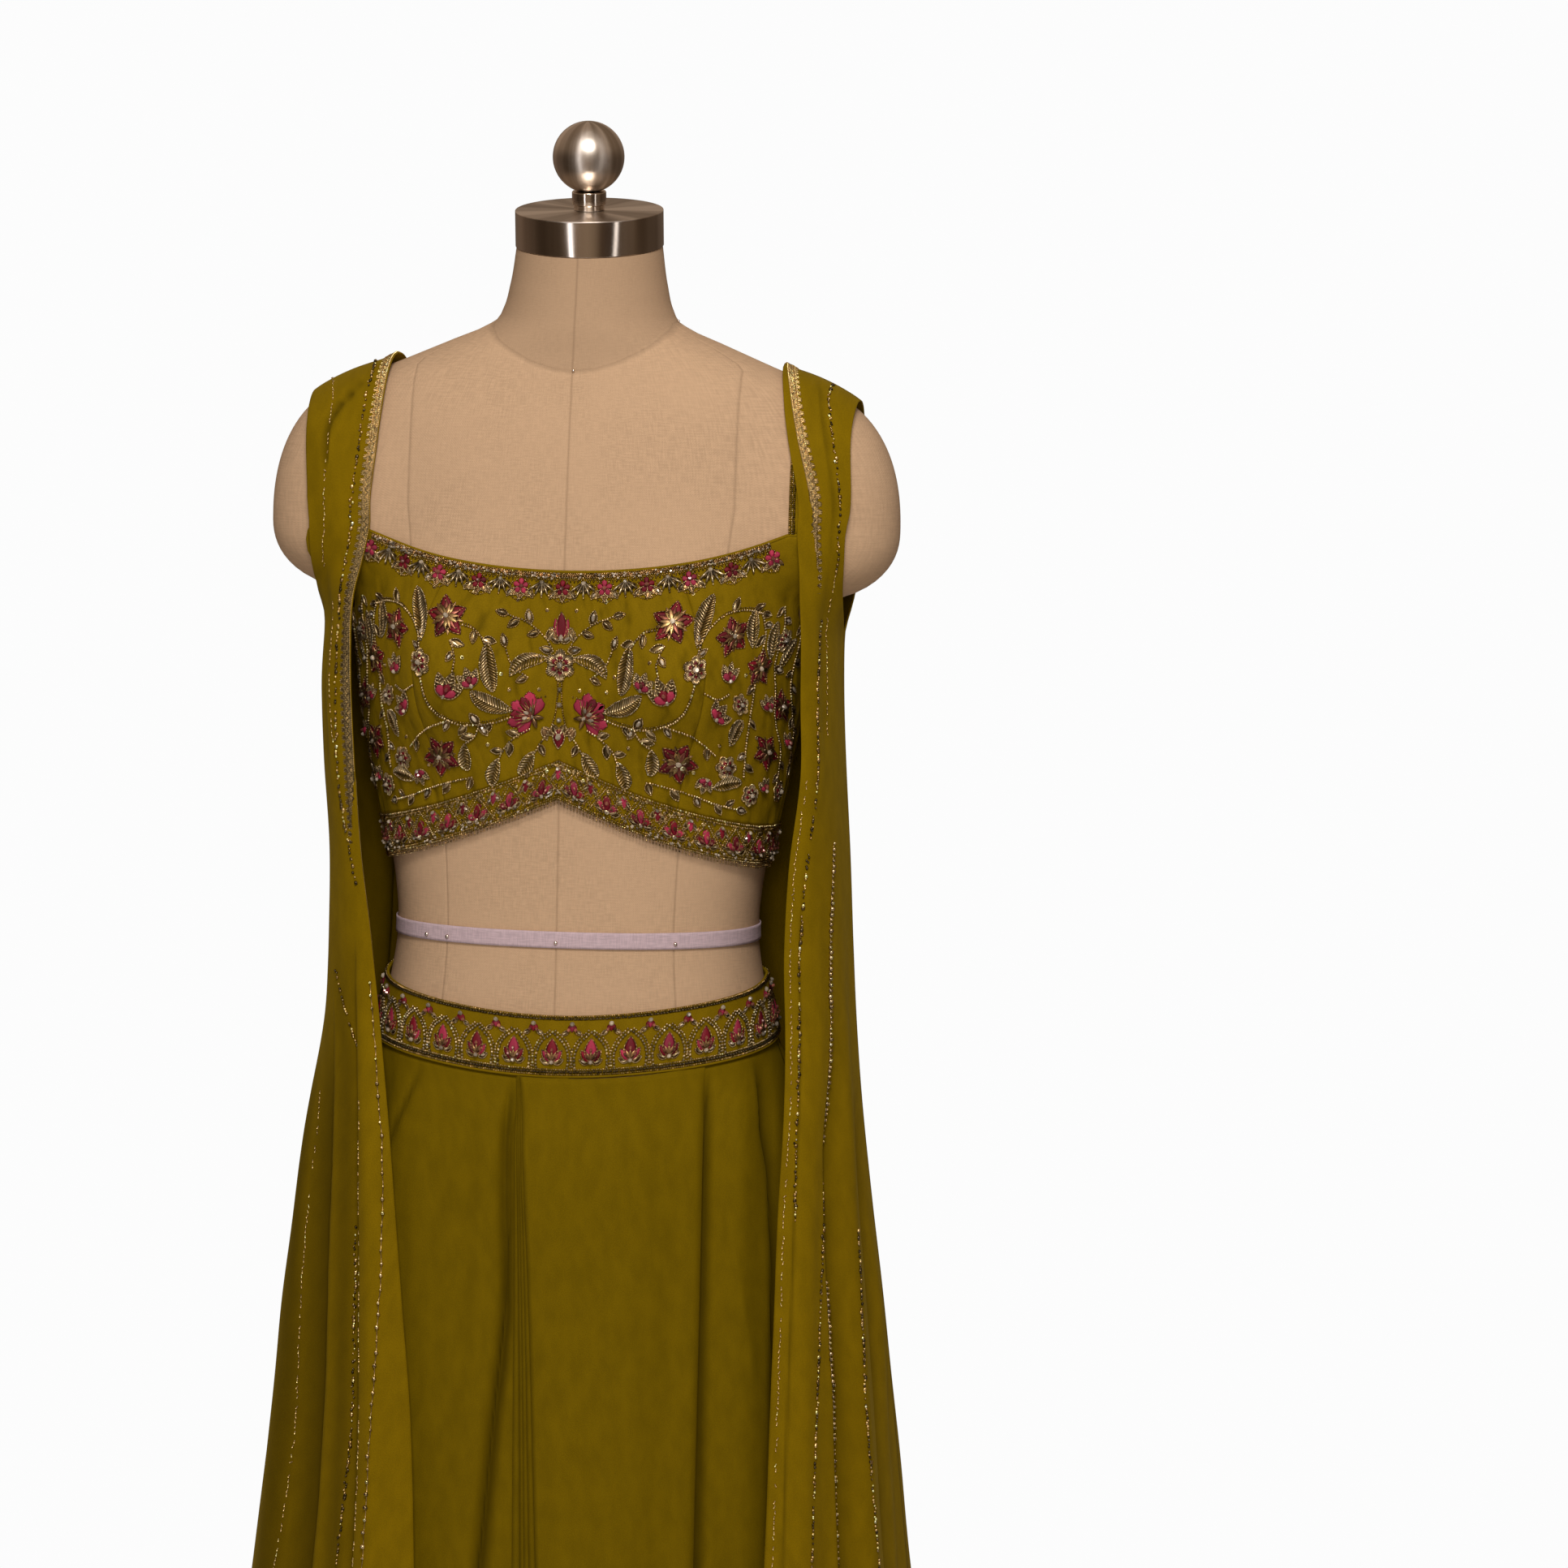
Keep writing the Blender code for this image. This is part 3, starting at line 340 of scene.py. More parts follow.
def through(value, places, amounts):
    """Cubic curve through the amounts at rising places, each slope taken from the neighbours."""
    places = np.asarray(places, float)
    amounts = np.asarray(amounts, float)
    slope = np.gradient(amounts, places)
    k = np.clip(np.searchsorted(places, value) - 1, 0, len(places) - 2)
    step = places[k + 1] - places[k]
    t = np.clip((value - places[k]) / step, 0.0, 1.0)
    start = (1 + 2 * t) * (1 - t) ** 2 * amounts[k] + t * (1 - t) ** 2 * step * slope[k]
    end = t * t * (3 - 2 * t) * amounts[k + 1] + t * t * (t - 1) * step * slope[k + 1]
    return start + end


def smooth_step(value):
    """0 below 0, 1 above 1, and level at both ends."""
    t = np.clip(value, 0.0, 1.0)
    return t * t * (3 - 2 * t)


def climb(value, low, high):
    """Smooth step from one value to another."""
    return smooth_step((value - low) / (high - low))


def read_at(table, value):
    """The other columns of a table, each read along a curve at a value of its first column."""
    places, *columns = zip(*sorted(table))
    return [through(value, places, column) for column in columns]


def unit(way):
    """Directions of length one."""
    return way / np.linalg.norm(way, axis=-1, keepdims=True)


def circle(sides):
    """Angles evenly round a circle."""
    return np.linspace(0, 2 * math.pi, sides, endpoint=False)


def body(p):
    """Field that is 0 on the form's skin: a superellipse by height with a raised bust, and arm stubs.

    Each stub is a superellipsoid, melted into the torso by a rounded minimum.
    """
    x = np.abs(p[..., 0])
    y = p[..., 1]
    z = p[..., 2]
    half, front, back, square = read_at(BODY, z)
    bust = BUST["rise"] * np.exp(-((x - BUST["across"]) / BUST["wide"]) ** 2
            - ((z - BUST["height"]) / BUST["tall"]) ** 2)
    depth = np.where(y < 0, front + bust, back)
    ratio = ((x / half) ** square + (np.abs(y) / depth) ** square) ** (1 / square)
    torso = (ratio - 1) * 0.1
    rise = z - STUB["height"]
    tall = np.where(rise < 0, STUB["low"], STUB["high"])
    power = STUB["squareness"]
    ratio = ((np.abs(x - STUB["across"]) / STUB["wide"]) ** power
            + (np.abs(y) / STUB["deep"]) ** power + (np.abs(rise) / tall) ** power)
    stub = (ratio ** (1 / power) - 1) * STUB["deep"]
    mix = np.clip(0.5 + 0.5 * (stub - torso) / STUB["blend"], 0.0, 1.0)
    return stub * (1 - mix) + torso * mix - STUB["blend"] * mix * (1 - mix)


def slope_of_body(p):
    """Gradient of the body's field by small differences."""
    reach = 0.0005
    return np.stack([(body(p + step) - body(p - step)) / (2 * reach) for step in np.eye(3) * reach], -1)


def skin(origin, direction, out=0.0):
    """Where a ray from inside the form leaves its skin, moved out along the skin's normal."""
    origin, direction = np.broadcast_arrays(origin, direction)
    near = np.zeros(origin.shape[:-1])
    far = np.full(origin.shape[:-1], 0.32)
    for _ in range(22):
        middle = (near + far) / 2
        inside = body(origin + direction * middle[..., None]) < 0
        near = np.where(inside, middle, near)
        far = np.where(inside, far, middle)
    p = origin + direction * near[..., None]
    return p + unit(slope_of_body(p)) * np.asarray(out)[..., None]


def round_form(degrees, height, out=0.0):
    """Point beside the form at a turn from centre front towards +X, at a height."""
    turn = np.radians(degrees)
    turn, height = np.broadcast_arrays(turn, height)
    origin = np.stack([0 * turn, 0 * turn, height], -1)
    direction = np.stack([np.sin(turn), -np.cos(turn), 0 * turn], -1)
    return skin(origin, direction, out)


def over_shoulder(x, degrees, out=0.0):
    """Point over the shoulder at x: 0 degrees is level at the front, 90 on top, 180 behind."""
    lift = np.radians(degrees)
    x, lift = np.broadcast_arrays(x, lift)
    origin = np.stack([x, 0 * lift, 0 * lift + STRAP_CENTRE], -1)
    direction = np.stack([0 * lift, -np.cos(lift), np.sin(lift)], -1)
    return skin(origin, direction, out)


def kept_clear(p, out):
    """Points moved out, where they need it, to lie at least this far from the form's skin."""
    for _ in range(4):
        slope = slope_of_body(p)
        size = np.linalg.norm(slope, axis=-1, keepdims=True)
        short = np.maximum(out - body(p)[..., None] / size, 0.0)
        p = p + slope / size * short
    return p


def ripple(u, v, size, seed, stretch=1.0, waves=9):
    """Smooth noise from -1 to 1: a sum of plane waves about one size long, longer up the cloth."""
    random = np.random.default_rng(seed)
    total = 0.0 * u
    for _ in range(waves):
        angle = random.uniform(0, math.pi)
        pitch = size * random.uniform(0.7, 1.5)
        phase = random.uniform(0, 2 * math.pi)
        total = total + np.sin(2 * math.pi * (u * math.cos(angle) + v * math.sin(angle) / stretch)
                / pitch + phase)
    return total / waves ** 0.5 / 1.6


# Meshes


def mesh_of(name, points, faces, uv=None, smooth=True):
    """Mesh object at the origin from points, faces and the points' places on the flat cloth."""
    mesh = bpy.data.meshes.new(name)
    mesh.from_pydata(np.asarray(points, float).reshape(-1, 3), [], faces)
    if smooth:
        mesh.shade_smooth()
    if uv is not None:
        corner = np.empty(len(mesh.loops), np.int32)
        mesh.loops.foreach_get("vertex_index", corner)
        layer = mesh.uv_layers.new(name="cloth")
        layer.uv.foreach_set("vector", np.asarray(uv, np.float32).reshape(-1, 2)[corner].ravel())
    made = bpy.data.objects.new(name, mesh)
    bpy.context.scene.collection.objects.link(made)
    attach(made, "root")
    return made


def grid_faces(rows, columns, closed=False, outward=1.0):
    """Quads of a grid of points whose rows run left to right and whose columns run downwards."""
    r, c = np.meshgrid(np.arange(rows - 1), np.arange(columns if closed else columns - 1), indexing="ij")
    right = (c + 1) % columns
    faces = np.stack([r * columns + c, (r + 1) * columns + c,
            (r + 1) * columns + right, r * columns + right], -1).reshape(-1, 4)
    return (faces if outward > 0 else faces[:, ::-1]).tolist()


def distances(points):
    """Distance across each row from its first point, and down each column from its first point."""
    across = np.linalg.norm(np.diff(points, axis=1), axis=-1)
    down = np.linalg.norm(np.diff(points, axis=0), axis=-1)
    across = np.concatenate([np.zeros((len(points), 1)), np.cumsum(across, 1)], 1)
    down = np.concatenate([np.zeros((1, points.shape[1])), np.cumsum(down, 0)], 0)
    return across, down


def area_of(points):
    """Area of a grid of points: half the cross product of each cell's two diagonals."""
    one = points[1:, 1:] - points[:-1, :-1]
    two = points[1:, :-1] - points[:-1, 1:]
    return float(np.linalg.norm(np.cross(one, two), axis=-1).sum() / 2)


def lengths(path):
    """Distance along a path at each of its points."""
    return np.concatenate([[0], np.cumsum(np.linalg.norm(np.diff(path, axis=0), axis=1))])


def bearing(way):
    """Turn in degrees of each of the flat directions."""
    return np.degrees(np.arctan2(way[:, 1], way[:, 0]))


def dressed(made, finish, slot, *node_names):
    """Gives a piece its finish and hides the CAD nodes that it stands for. Its slot is not used."""
    made.data.materials.append(finish)
    if node_names:
        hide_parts(*node_names)
    return made


def cloth(name, points, wall, finish, slot, node_name, held=None, rests_on=(), outward=1.0, closed=False):
    """Cloth wall about a grid of points, whose places on the flat cloth are its distances."""
    points = np.asarray(points)
    rows, columns = points.shape[:2]
    across, down = distances(points)
    uv = np.stack([across - across[:, columns // 2][:, None], -down], -1)
    made = mesh_of(name, points, grid_faces(rows, columns, outward=outward), uv)
    if closed:
        merged(made)
    thick = made.modifiers.new("wall", "SOLIDIFY")
    thick.thickness = wall
    thick.offset = 0.0
    dressed(made, finish, slot, node_name)
    if held:
        cut_from(made, points)
    return made


def cut_from(made, points):
    """Declares a cloth as a sheet: its widest row, its longest column and its own area."""
    points = np.asarray(points)
    across, down = distances(points)
    width, length = float(across[:, -1].max()), float(down[-1].max())
    area = min(area_of(points), width * length)
    CUTS.append((made.name, round(width, 3), round(length, 3), round(area, 4)))


CUTS = []


def turned(name, profile, steps, finish, node_name, bottom, lean=0.0):
    """Solid of revolution from rows of (radius, height), top first, tipped about its base."""
    radius, height = np.asarray(profile, float).T[..., None]
    turn = circle(steps)
    x, y = radius * np.sin(turn), -radius * np.cos(turn)
    cos, sin = math.cos(lean), math.sin(lean)
    p = np.stack([x, y * cos - height * sin, y * sin + height * cos], -1) + np.asarray(bottom)
    made = mesh_of(name, p, grid_faces(len(profile), steps, closed=True))
    made.data.set_sharp_from_angle(angle=math.radians(40))
    return dressed(made, finish, "steel", node_name)


def merged(made):
    """Same object with the doubled points of its poles and closed profiles joined."""
    weld = made.modifiers.new("weld", "WELD")
    weld.merge_threshold = 0.00001
    return made


# Beadwork


class Face:
    """Outer face of a cloth, evened out in distance, that beads and petals are laid on.

    grid[i, j] lies at across = first + j * step and height = top - i * fall. Rows start with
    their own spacing, and each is read again at even distances from its zero column.
    """

    def __init__(self, rows, zero, top, fall, outward=1.0, step=0.001):
        across, _ = distances(rows)
        across = across - across[:, zero][:, None]
        self.first, self.step = float(across.min()), step
        self.top, self.fall, self.outward = top, fall, outward
        even = np.arange(self.first, float(across.max()), step)
        both = np.concatenate([rows, outward_of(rows, outward)], -1)
        self.grid = np.stack([np.stack([np.interp(even, across[i], both[i, :, k]) for k in range(6)], -1)
                for i in range(len(rows))])

    def lay(self, flat):
        """Places (across, height, distance off the cloth) put on the face, in the row frame."""
        rows, columns = self.grid.shape[:2]
        r = np.clip((self.top - flat[..., 1]) / self.fall, 0, rows - 1.001)
        c = np.clip((flat[..., 0] - self.first) / self.step, 0, columns - 1.001)
        i, j = r.astype(int), c.astype(int)
        r, c = (r - i)[..., None], (c - j)[..., None]
        g = self.grid
        p = ((g[i, j] * (1 - c) + g[i, j + 1] * c) * (1 - r)
             + (g[i + 1, j] * (1 - c) + g[i + 1, j + 1] * c) * r)
        return p[..., :3] + p[..., 3:] * flat[..., 2:3]


def round_shape(profile, sides, hole=False):
    """Unit shape turned about its height from rows of (radius, height), bottom first."""
    turn = np.arange(sides) * 2 * math.pi / sides
    points = [(r * math.cos(a) / 2, r * math.sin(a) / 2, h) for r, h in profile for a in turn]
    count = len(points)
    faces = [(r + s, r + (s + 1) % sides, (r + sides) % count + (s + 1) % sides, (r + sides) % count + s)
             for r in range(0, count if hole else count - sides, sides) for s in range(sides)]
    if not hole:
        faces += [tuple(range(sides - 1, -1, -1)), tuple(range(count - sides, count))]
    return np.array(points), faces


def rod_shape(sides=4):
    """Unit rod along its length, lying on the cloth."""
    turn = np.arange(sides) * 2 * math.pi / sides + math.pi / 2
    points = [(end, math.cos(a) / 2, 0.5 + math.sin(a) / 2) for end in (-0.5, 0.5) for a in turn]
    faces = [((s + 1) % sides, sides + (s + 1) % sides, sides + s, s) for s in range(sides)]
    return np.array(points), [*faces, tuple(range(sides)), tuple(range(2 * sides - 1, sides - 1, -1))]


def petal_shape(lean, fullness, rows=7, columns=7):
    """Unit petal from its base along its length: half width sin(pi t^lean)^fullness, domed."""
    t = np.linspace(0, 1, rows)[:, None]
    s = np.linspace(-1, 1, columns)[None, :]
    wide = 0.04 + 0.96 * np.sin(math.pi * t ** lean) ** fullness
    high = (1 - s * s) * (0.35 + 0.65 * np.sin(math.pi * t)) * (1 - 0.3 * np.exp(-(s / 0.28) ** 2))
    points = np.stack([t + 0 * s, 0.5 * s * wide, high], -1).reshape(-1, 3)
    last = rows * columns - 1
    rim = [*range(columns - 1), *range(columns - 1, last, columns),
           *range(last, last + 1 - columns, -1), *range(last + 1 - columns, 0, -columns)]
    return points, [*grid_faces(rows, columns), rim]


SHAPES = {
    "bead": round_shape(((0.8, 0.0), (1.0, 0.45), (0.5, 0.95)), 5),
    "stone": round_shape(((0.9, 0.0), (1.0, 0.35), (0.55, 1.0)), 8),
    "sequin": round_shape(((1.0, 0.25), (1.0, 0.55), (0.3, 0.3), (0.3, 0.0)), 6, hole=True),
    "rod": rod_shape(),
    "point": petal_shape(0.85, 0.9),
    "round": petal_shape(1.7, 0.55),
}
MADE_OF = {
    # kind: (shape, part of the beadwork that it belongs to)
    "bead": ("bead", "beads"),
    "sequin": ("sequin", "beads"),
    "rod": ("rod", "threads"),
    "gold_leaf": ("point", "threads"),
    "silk_point": ("point", "silk"),
    "silk_round": ("round", "silk"),
    "stone": ("stone", "stones"),
}


def spaced(path, pitch):
    """Points about one pitch apart along the smooth curve through a path, and their directions."""
    path = np.asarray(path, float)
    reach = lengths(path)
    fine = np.linspace(0, reach[-1], max(40, int(reach[-1] / pitch * 6)))
    curve = np.stack([through(fine, reach, path[:, k]) if len(path) > 2
            else np.interp(fine, reach, path[:, k]) for k in (0, 1)], -1)
    length = lengths(curve)
    even = np.linspace(0, length[-1], max(2, int(round(length[-1] / pitch)) + 1))
    at = np.stack([np.interp(even, length, curve[:, k]) for k in (0, 1)], -1)
    return at, bearing(np.gradient(at, axis=0))


UNEVEN = {"beads": 0.42, "threads": 0.2, "silk": 0.14, "stones": 0.38}


class Beadwork:
    """Beads, rods, stones and petals for one cloth face, kept in mm until they are laid on it.

    A row is (across, height, turn in degrees, length, width, thickness, lift, red, green, blue).
    """

    def __init__(self, face, seed, shift=None):
        self.face, self.shift, self.fade, self.sink = face, shift, None, None
        self.random = np.random.default_rng(seed)
        self.rows = {kind: [] for kind in MADE_OF}

    def add(self, kind, u, v, turn, length, width, thick, lift=0.0, tint="gold"):
        """One piece, or as many as the longest of the numbers given."""
        numbers = [a.ravel() for a in np.broadcast_arrays(u, v, turn, length, width, thick, lift)]
        if self.shift is not None:
            numbers[:3] = self.shift(*numbers[:3])
        colour = np.array(TINTS[tint]) * self.random.uniform(0.72, 1.22, (len(numbers[0]), 1))
        self.rows[kind].append(np.column_stack([*numbers, colour]))

    def dot(self, kind, at, size, thick, lift=0.0, tint="clear", turn=0):
        """Pieces as wide as they are long."""
        self.add(kind, *at, turn, size, size, thick, lift, tint)

    def mirror(self, mark):
        """Everything added since the mark once more, on the other side of the centre line."""
        for kind, start in mark.items():
            for rows in self.rows[kind][start:]:
                other = rows.copy()
                other[:, 0] *= -1
                other[:, 2] = 180.0 - other[:, 2]
                self.rows[kind].append(other)

    def mark(self):
        return {kind: len(rows) for kind, rows in self.rows.items()}

    def beads(self, path, pitch, size, tint="gold", kind="bead"):
        """Line of beads, or of sequins or rods, along a path."""
        at, turn = spaced(path, pitch)
        at = at + self.random.normal(0, 0.06 * size, at.shape)
        self.add(kind, *at.T, turn, pitch * 0.88 if kind == "rod" else size, size, size * 0.9, 0.0, tint)

    def lines(self, first, last, rows):
        """Straight lines of beads from side to side, each given by its height and look."""
        for v, *look in rows:
            self.beads(((first, v), (last, v)), *look)

    def rods(self, starts, ends, width, tint="pale_gold", lift=0.0):
        """Rods, or runs of couched thread, from one set of places to another."""
        starts, ends = np.asarray(starts, float), np.asarray(ends, float)
        way = ends - starts
        self.add("rod", *((starts + ends) / 2).T, bearing(way), np.hypot(*way.T), width, width, lift, tint)

    def rim(self, u, v, turn, length, width, thread=0.8, tint="gold", lift=0.2):
        """Fine thread along both edges of a petal or leaf, which may be one of many."""
        u, v, turn = (a.ravel()[:, None] for a in np.broadcast_arrays(u, v, turn))
        t = np.linspace(0.0, 1.0, 8)[None, :]
        wide = width / 2 * np.sin(math.pi * t ** 0.85) ** 0.9
        c, s = np.cos(np.radians(turn)), np.sin(np.radians(turn))
        for sign in (1, -1):
            edge = np.stack([u + c * length * t - s * sign * wide, v + s * length * t + c * sign * wide], -1)
            self.rods(edge[:, :-1].reshape(-1, 2), edge[:, 1:].reshape(-1, 2), thread, tint, lift)

    def rimmed(self, kind, u, v, turn, length, width, edge, thick, lift, tint, thread, bound, bound_lift=0.2):
        """Petals or leaves, with a rim about the width of its edge."""
        self.add(kind, u, v, turn, length, width, thick, lift, tint)
        self.rim(u, v, turn, length, edge, thread, bound, bound_lift)

    def at(self, u, v, turn, reach):
        """Places at a distance from (u, v) in the directions given."""
        a = np.radians(turn)
        return u + np.cos(a) * reach, v + np.sin(a) * reach

    def rays(self, u, v, turn, inner, outer, *look):
        """Rods from one distance to another in the directions given."""
        self.rods(*(np.stack(self.at(u, v, turn, reach), -1) for reach in (inner, outer)), *look)

    def thread_leaf(self, base, tip, width, bend):
        """Leaf of slanted gold threads about a bent midrib, inside a scalloped bead edge."""
        base, tip = np.array(base, float), np.array(tip, float)
        way = tip - base
        length = np.hypot(*way)
        side = np.array([-way[1], way[0]]) / length
        t = np.linspace(0.04, 0.95, int(length / 1.9))[:, None]
        rib = base + way * t + side * bend * 2 * t * (1 - t)
        wide = width / 2 * np.sin(math.pi * t ** 0.8) ** 0.7
        ahead = way / length * wide * 0.7
        for sign, tint in ((1, "leaf"), (-1, "gold")):
            self.rods(rib, rib + sign * side * wide * 0.9 + ahead, 1.25, tint, 0.1)
            self.beads(np.vstack([base, rib + sign * side * wide + ahead, tip]), 1.4, 1.35, "silver")
        self.beads(np.vstack([base, rib, tip]), 1.5, 1.2, "old_gold")

    def small_leaf(self, u, v, length, turn):
        """Small leaf: dark gold inside a fine thread rim, with a rod or a pointed stone on it."""
        self.add("gold_leaf", u, v, turn, length, length * 0.5, 0.8, 0.0, "old_gold")
        middle = self.at(u, v, turn, length * 0.52)
        draw = self.random.random()
        if draw < 0.4:
            self.add("rod", *middle, turn, length * 0.58, 1.3, 1.3, 0.6, "silver")
        elif draw < 0.7:
            self.add("stone", *middle, turn, length * 0.5, length * 0.24, 1.2, 0.6, "clear")
        else:
            self.add("gold_leaf", u, v, turn + 14, length * 0.7, length * 0.26, 1.1, 0.7, "leaf")
        self.rim(u, v, turn, length, length * 0.54, 0.85, "gold" if draw < 0.5 else "pale_gold")

    def leaf_pair(self, u, v, length, middle, apart, aside=0.0):
        """Two small leaves, one on each side of a direction."""
        for side in (-1, 1):
            self.small_leaf(u + side * aside, v, length, middle + side * apart)

    def arch(self, u, points, lines, leaf):
        """Arch of bead lines, each moved outwards and up, and a small leaf in each of its feet.

        Its points are (distance aside, height), and the leaf is (aside, height, length, turn).
        """
        aside, v, length, apart = leaf
        for side in (-1, 1):
            for x, y, *look in lines:
                self.beads([(u + side * a + side * x, b + y) for a, b in points], *look)
            self.small_leaf(u + side * aside, v, length, 90 - side * apart)

    def about(self, kind, u, v, places, *look):
        """Pieces at a (turn, distance) from a point, each lying along its turn."""
        for turn, reach in places:
            self.add(kind, *self.at(u, v, turn, reach), turn, *look)

    def sprays(self, path, kept_off, pitch=8.2):
        """Small leaves by turns on both sides of a stem, none over the flowers."""
        places, ways = spaced(path, pitch)
        for k, ((u, v), way) in enumerate(zip(places, ways)):
            turn = way + (1 if k % 2 else -1) * self.random.uniform(38, 66)
            if k == len(places) - 1:
                turn = way
            length = self.random.uniform(8.0, 10.5)
            x, y = self.at(u, v, turn, length * 0.7)
            if all(math.hypot(x - a, y - b) > r + 2.5 for a, b, r in kept_off):
                self.small_leaf(u, v, length, turn)

    def star(self, u, v, radius, turn, count=5):
        """Star flower: broad crimson petals edged in gold, under a heart of bronze leaves."""
        ways = turn + np.arange(count) * 360.0 / count
        between = ways + 180.0 / count
        self.add("gold_leaf", u, v, between, radius * 0.8, radius * 0.34, 0.9, 0.0, "bronze")
        self.rimmed("silk_point", u, v, ways, radius, radius * 0.6, radius * 0.62, 1.5, 0.1, "crimson",
                0.9, "bronze")
        for share, size in ((0.84, 1.3), (0.7, 1.5)):
            self.dot("bead", self.at(u, v, ways, radius * share), size, 1.3, 0.9, "gold")
        for offset, reach, tint in ((0, 0.7, "rose"), (25, 0.6, "bronze"), (-27, 0.56, "gold"),
                (48, 0.5, "old_gold")):
            turned = ways + offset + self.random.uniform(-7, 7, count)
            self.add("gold_leaf", u, v, turned, radius * reach, radius * 0.27, 1.1,
                    1.4 + self.random.uniform(0, 0.8, count), tint)
        self.dot("sequin", self.at(u, v, between, radius * 0.24), 3.2, 0.9, 2.2, "silver", ways)
        self.dot("stone", (u, v), 3.4, 2.0, 2.2)

    def rosette(self, u, v, radius, turn=0.0, count=6):
        """Round flower: scalloped fans of gold thread, crimson points inside and a large stone."""
        ways = turn + np.arange(count) * 360.0 / count
        fan = (ways[:, None] + np.linspace(-24, 24, 7)).ravel()
        bulge = radius * np.tile(1 - 0.2 * np.abs(np.linspace(-1, 1, 7)) ** 2, count)
        self.rays(u, v, fan, radius * 0.5, bulge, 1.2, "leaf", 0.1)
        self.dot("bead", self.at(u, v, fan, bulge), 1.4, 1.3, 0.1, "pale_gold")
        self.add("silk_point", u, v, ways, radius * 0.8, radius * 0.44, 1.5, 0.3, "crimson")
        between = ways + 180.0 / count
        self.add("rod", *self.at(u, v, between, radius * 0.5), between, radius * 0.36, 1.3, 1.3, 1.4, "silver")
        self.dot("sequin", self.at(u, v, ways, radius * 0.3), radius * 0.24, 0.9, 1.8, "bronze")
        self.dot("stone", (u, v), radius * 0.46, 2.4, 1.6)

    def lotus(self, u, v, size, turn):
        """Open flower seen from its side: pink and crimson petals, bronze leaves at its foot."""
        for offset, share, wide, tint, lift in (
                (-82, 0.78, 0.52, "pink", 0.1), (82, 0.78, 0.52, "pink", 0.1), (-47, 0.98, 0.52, "pink", 0.3),
                (47, 0.98, 0.52, "pink", 0.3), (0, 1.0, 0.5, "pink", 0.1), (-26, 0.86, 0.44, "crimson", 0.9),
                (26, 0.86, 0.44, "crimson", 0.9)):
            self.add("silk_round", u, v, turn + offset, size * share, size * wide, 1.5, lift, tint)
        fan = turn + np.linspace(-88, 88, 23)
        hem = size * (0.86 + 0.1 * np.cos(np.radians((fan - turn) * 7.6)))
        self.dot("bead", self.at(u, v, fan, hem), 1.15, 1.0, 0.4, "gold")
        self.rays(u, v, turn + np.linspace(-70, 70, 11), size * 0.34, size * 0.68, 0.6, "gold", 1.9)
        for offset, reach in ((-60, 0.5), (-22, 0.56), (22, 0.56), (60, 0.5), (150, 0.46), (210, 0.46)):
            self.add("gold_leaf", u, v, turn + offset, size * reach, size * 0.2, 1.2, 1.7,
                    "rose" if abs(offset) < 50 else "bronze")
        for way in (turn - 40, turn, turn + 40):
            self.add("stone", *self.at(u, v, way, size * 0.3), way, size * 0.2, size * 0.14, 1.6, 2.3, "clear")
        self.add("stone", u, v, turn, 3.6, 2.8, 2.0, 2.2, "clear")

    def heart(self, u, v, size, turn):
        """Half-open flower: a cup of three thread leaves with pink lobes and stones on it."""
        for offset, share in ((-36, 0.94), (36, 0.94), (0, 1.0)):
            way = turn + offset
            self.add("gold_leaf", u, v, way, size * share, size * 0.46, 1.0, 0.1, "old_gold")
            along = np.linspace(0.3, 0.85, 5) * size * share
            reach = size * 0.2 * np.sin(np.linspace(0.9, 2.6, 5))
            foot = self.at(u, v, way, along)
            for sign in (54, -54):
                self.rays(*foot, way + sign, 0 * reach, reach, 1.0, "leaf", 0.7)
            self.rim(u, v, way, size * share, size * 0.48, 1.1, "pale_gold", 0.4)
        for offset in (-52, 0, 52):
            self.add("silk_round", *self.at(u, v, turn, size * 0.05), turn + offset, size * 0.5, size * 0.34, 1.8,
                    1.1, "pink" if offset else "crimson")
        for share, tint in ((0.06, "clear"), (0.34, "rose")):
            self.add("stone", *self.at(u, v, turn, size * share), turn, 3.0, 2.4, 1.7, 2.2, tint)

    def bud(self, u, v, size, turn, tint="crimson"):
        """Pointed bud between two small gold leaves, with a stone at its foot."""
        self.rimmed("gold_leaf", u, v, (turn - 44, turn + 44), size * 0.62, size * 0.3, size * 0.32,
                0.9, 0.0, "bronze", 0.8, "pale_gold")
        self.add("silk_point", u, v, (turn - 17, turn + 17), size * 0.8, size * 0.36, 1.3, 0.2, "pink")
        self.rimmed("silk_point", u, v, turn, size, size * 0.4, size * 0.42, 1.7, 0.6, tint, 0.7, "gold", 0.8)
        self.add("stone", *self.at(u, v, turn, size * 0.1), turn, size * 0.24, size * 0.18, 1.5, 1.2, "clear")

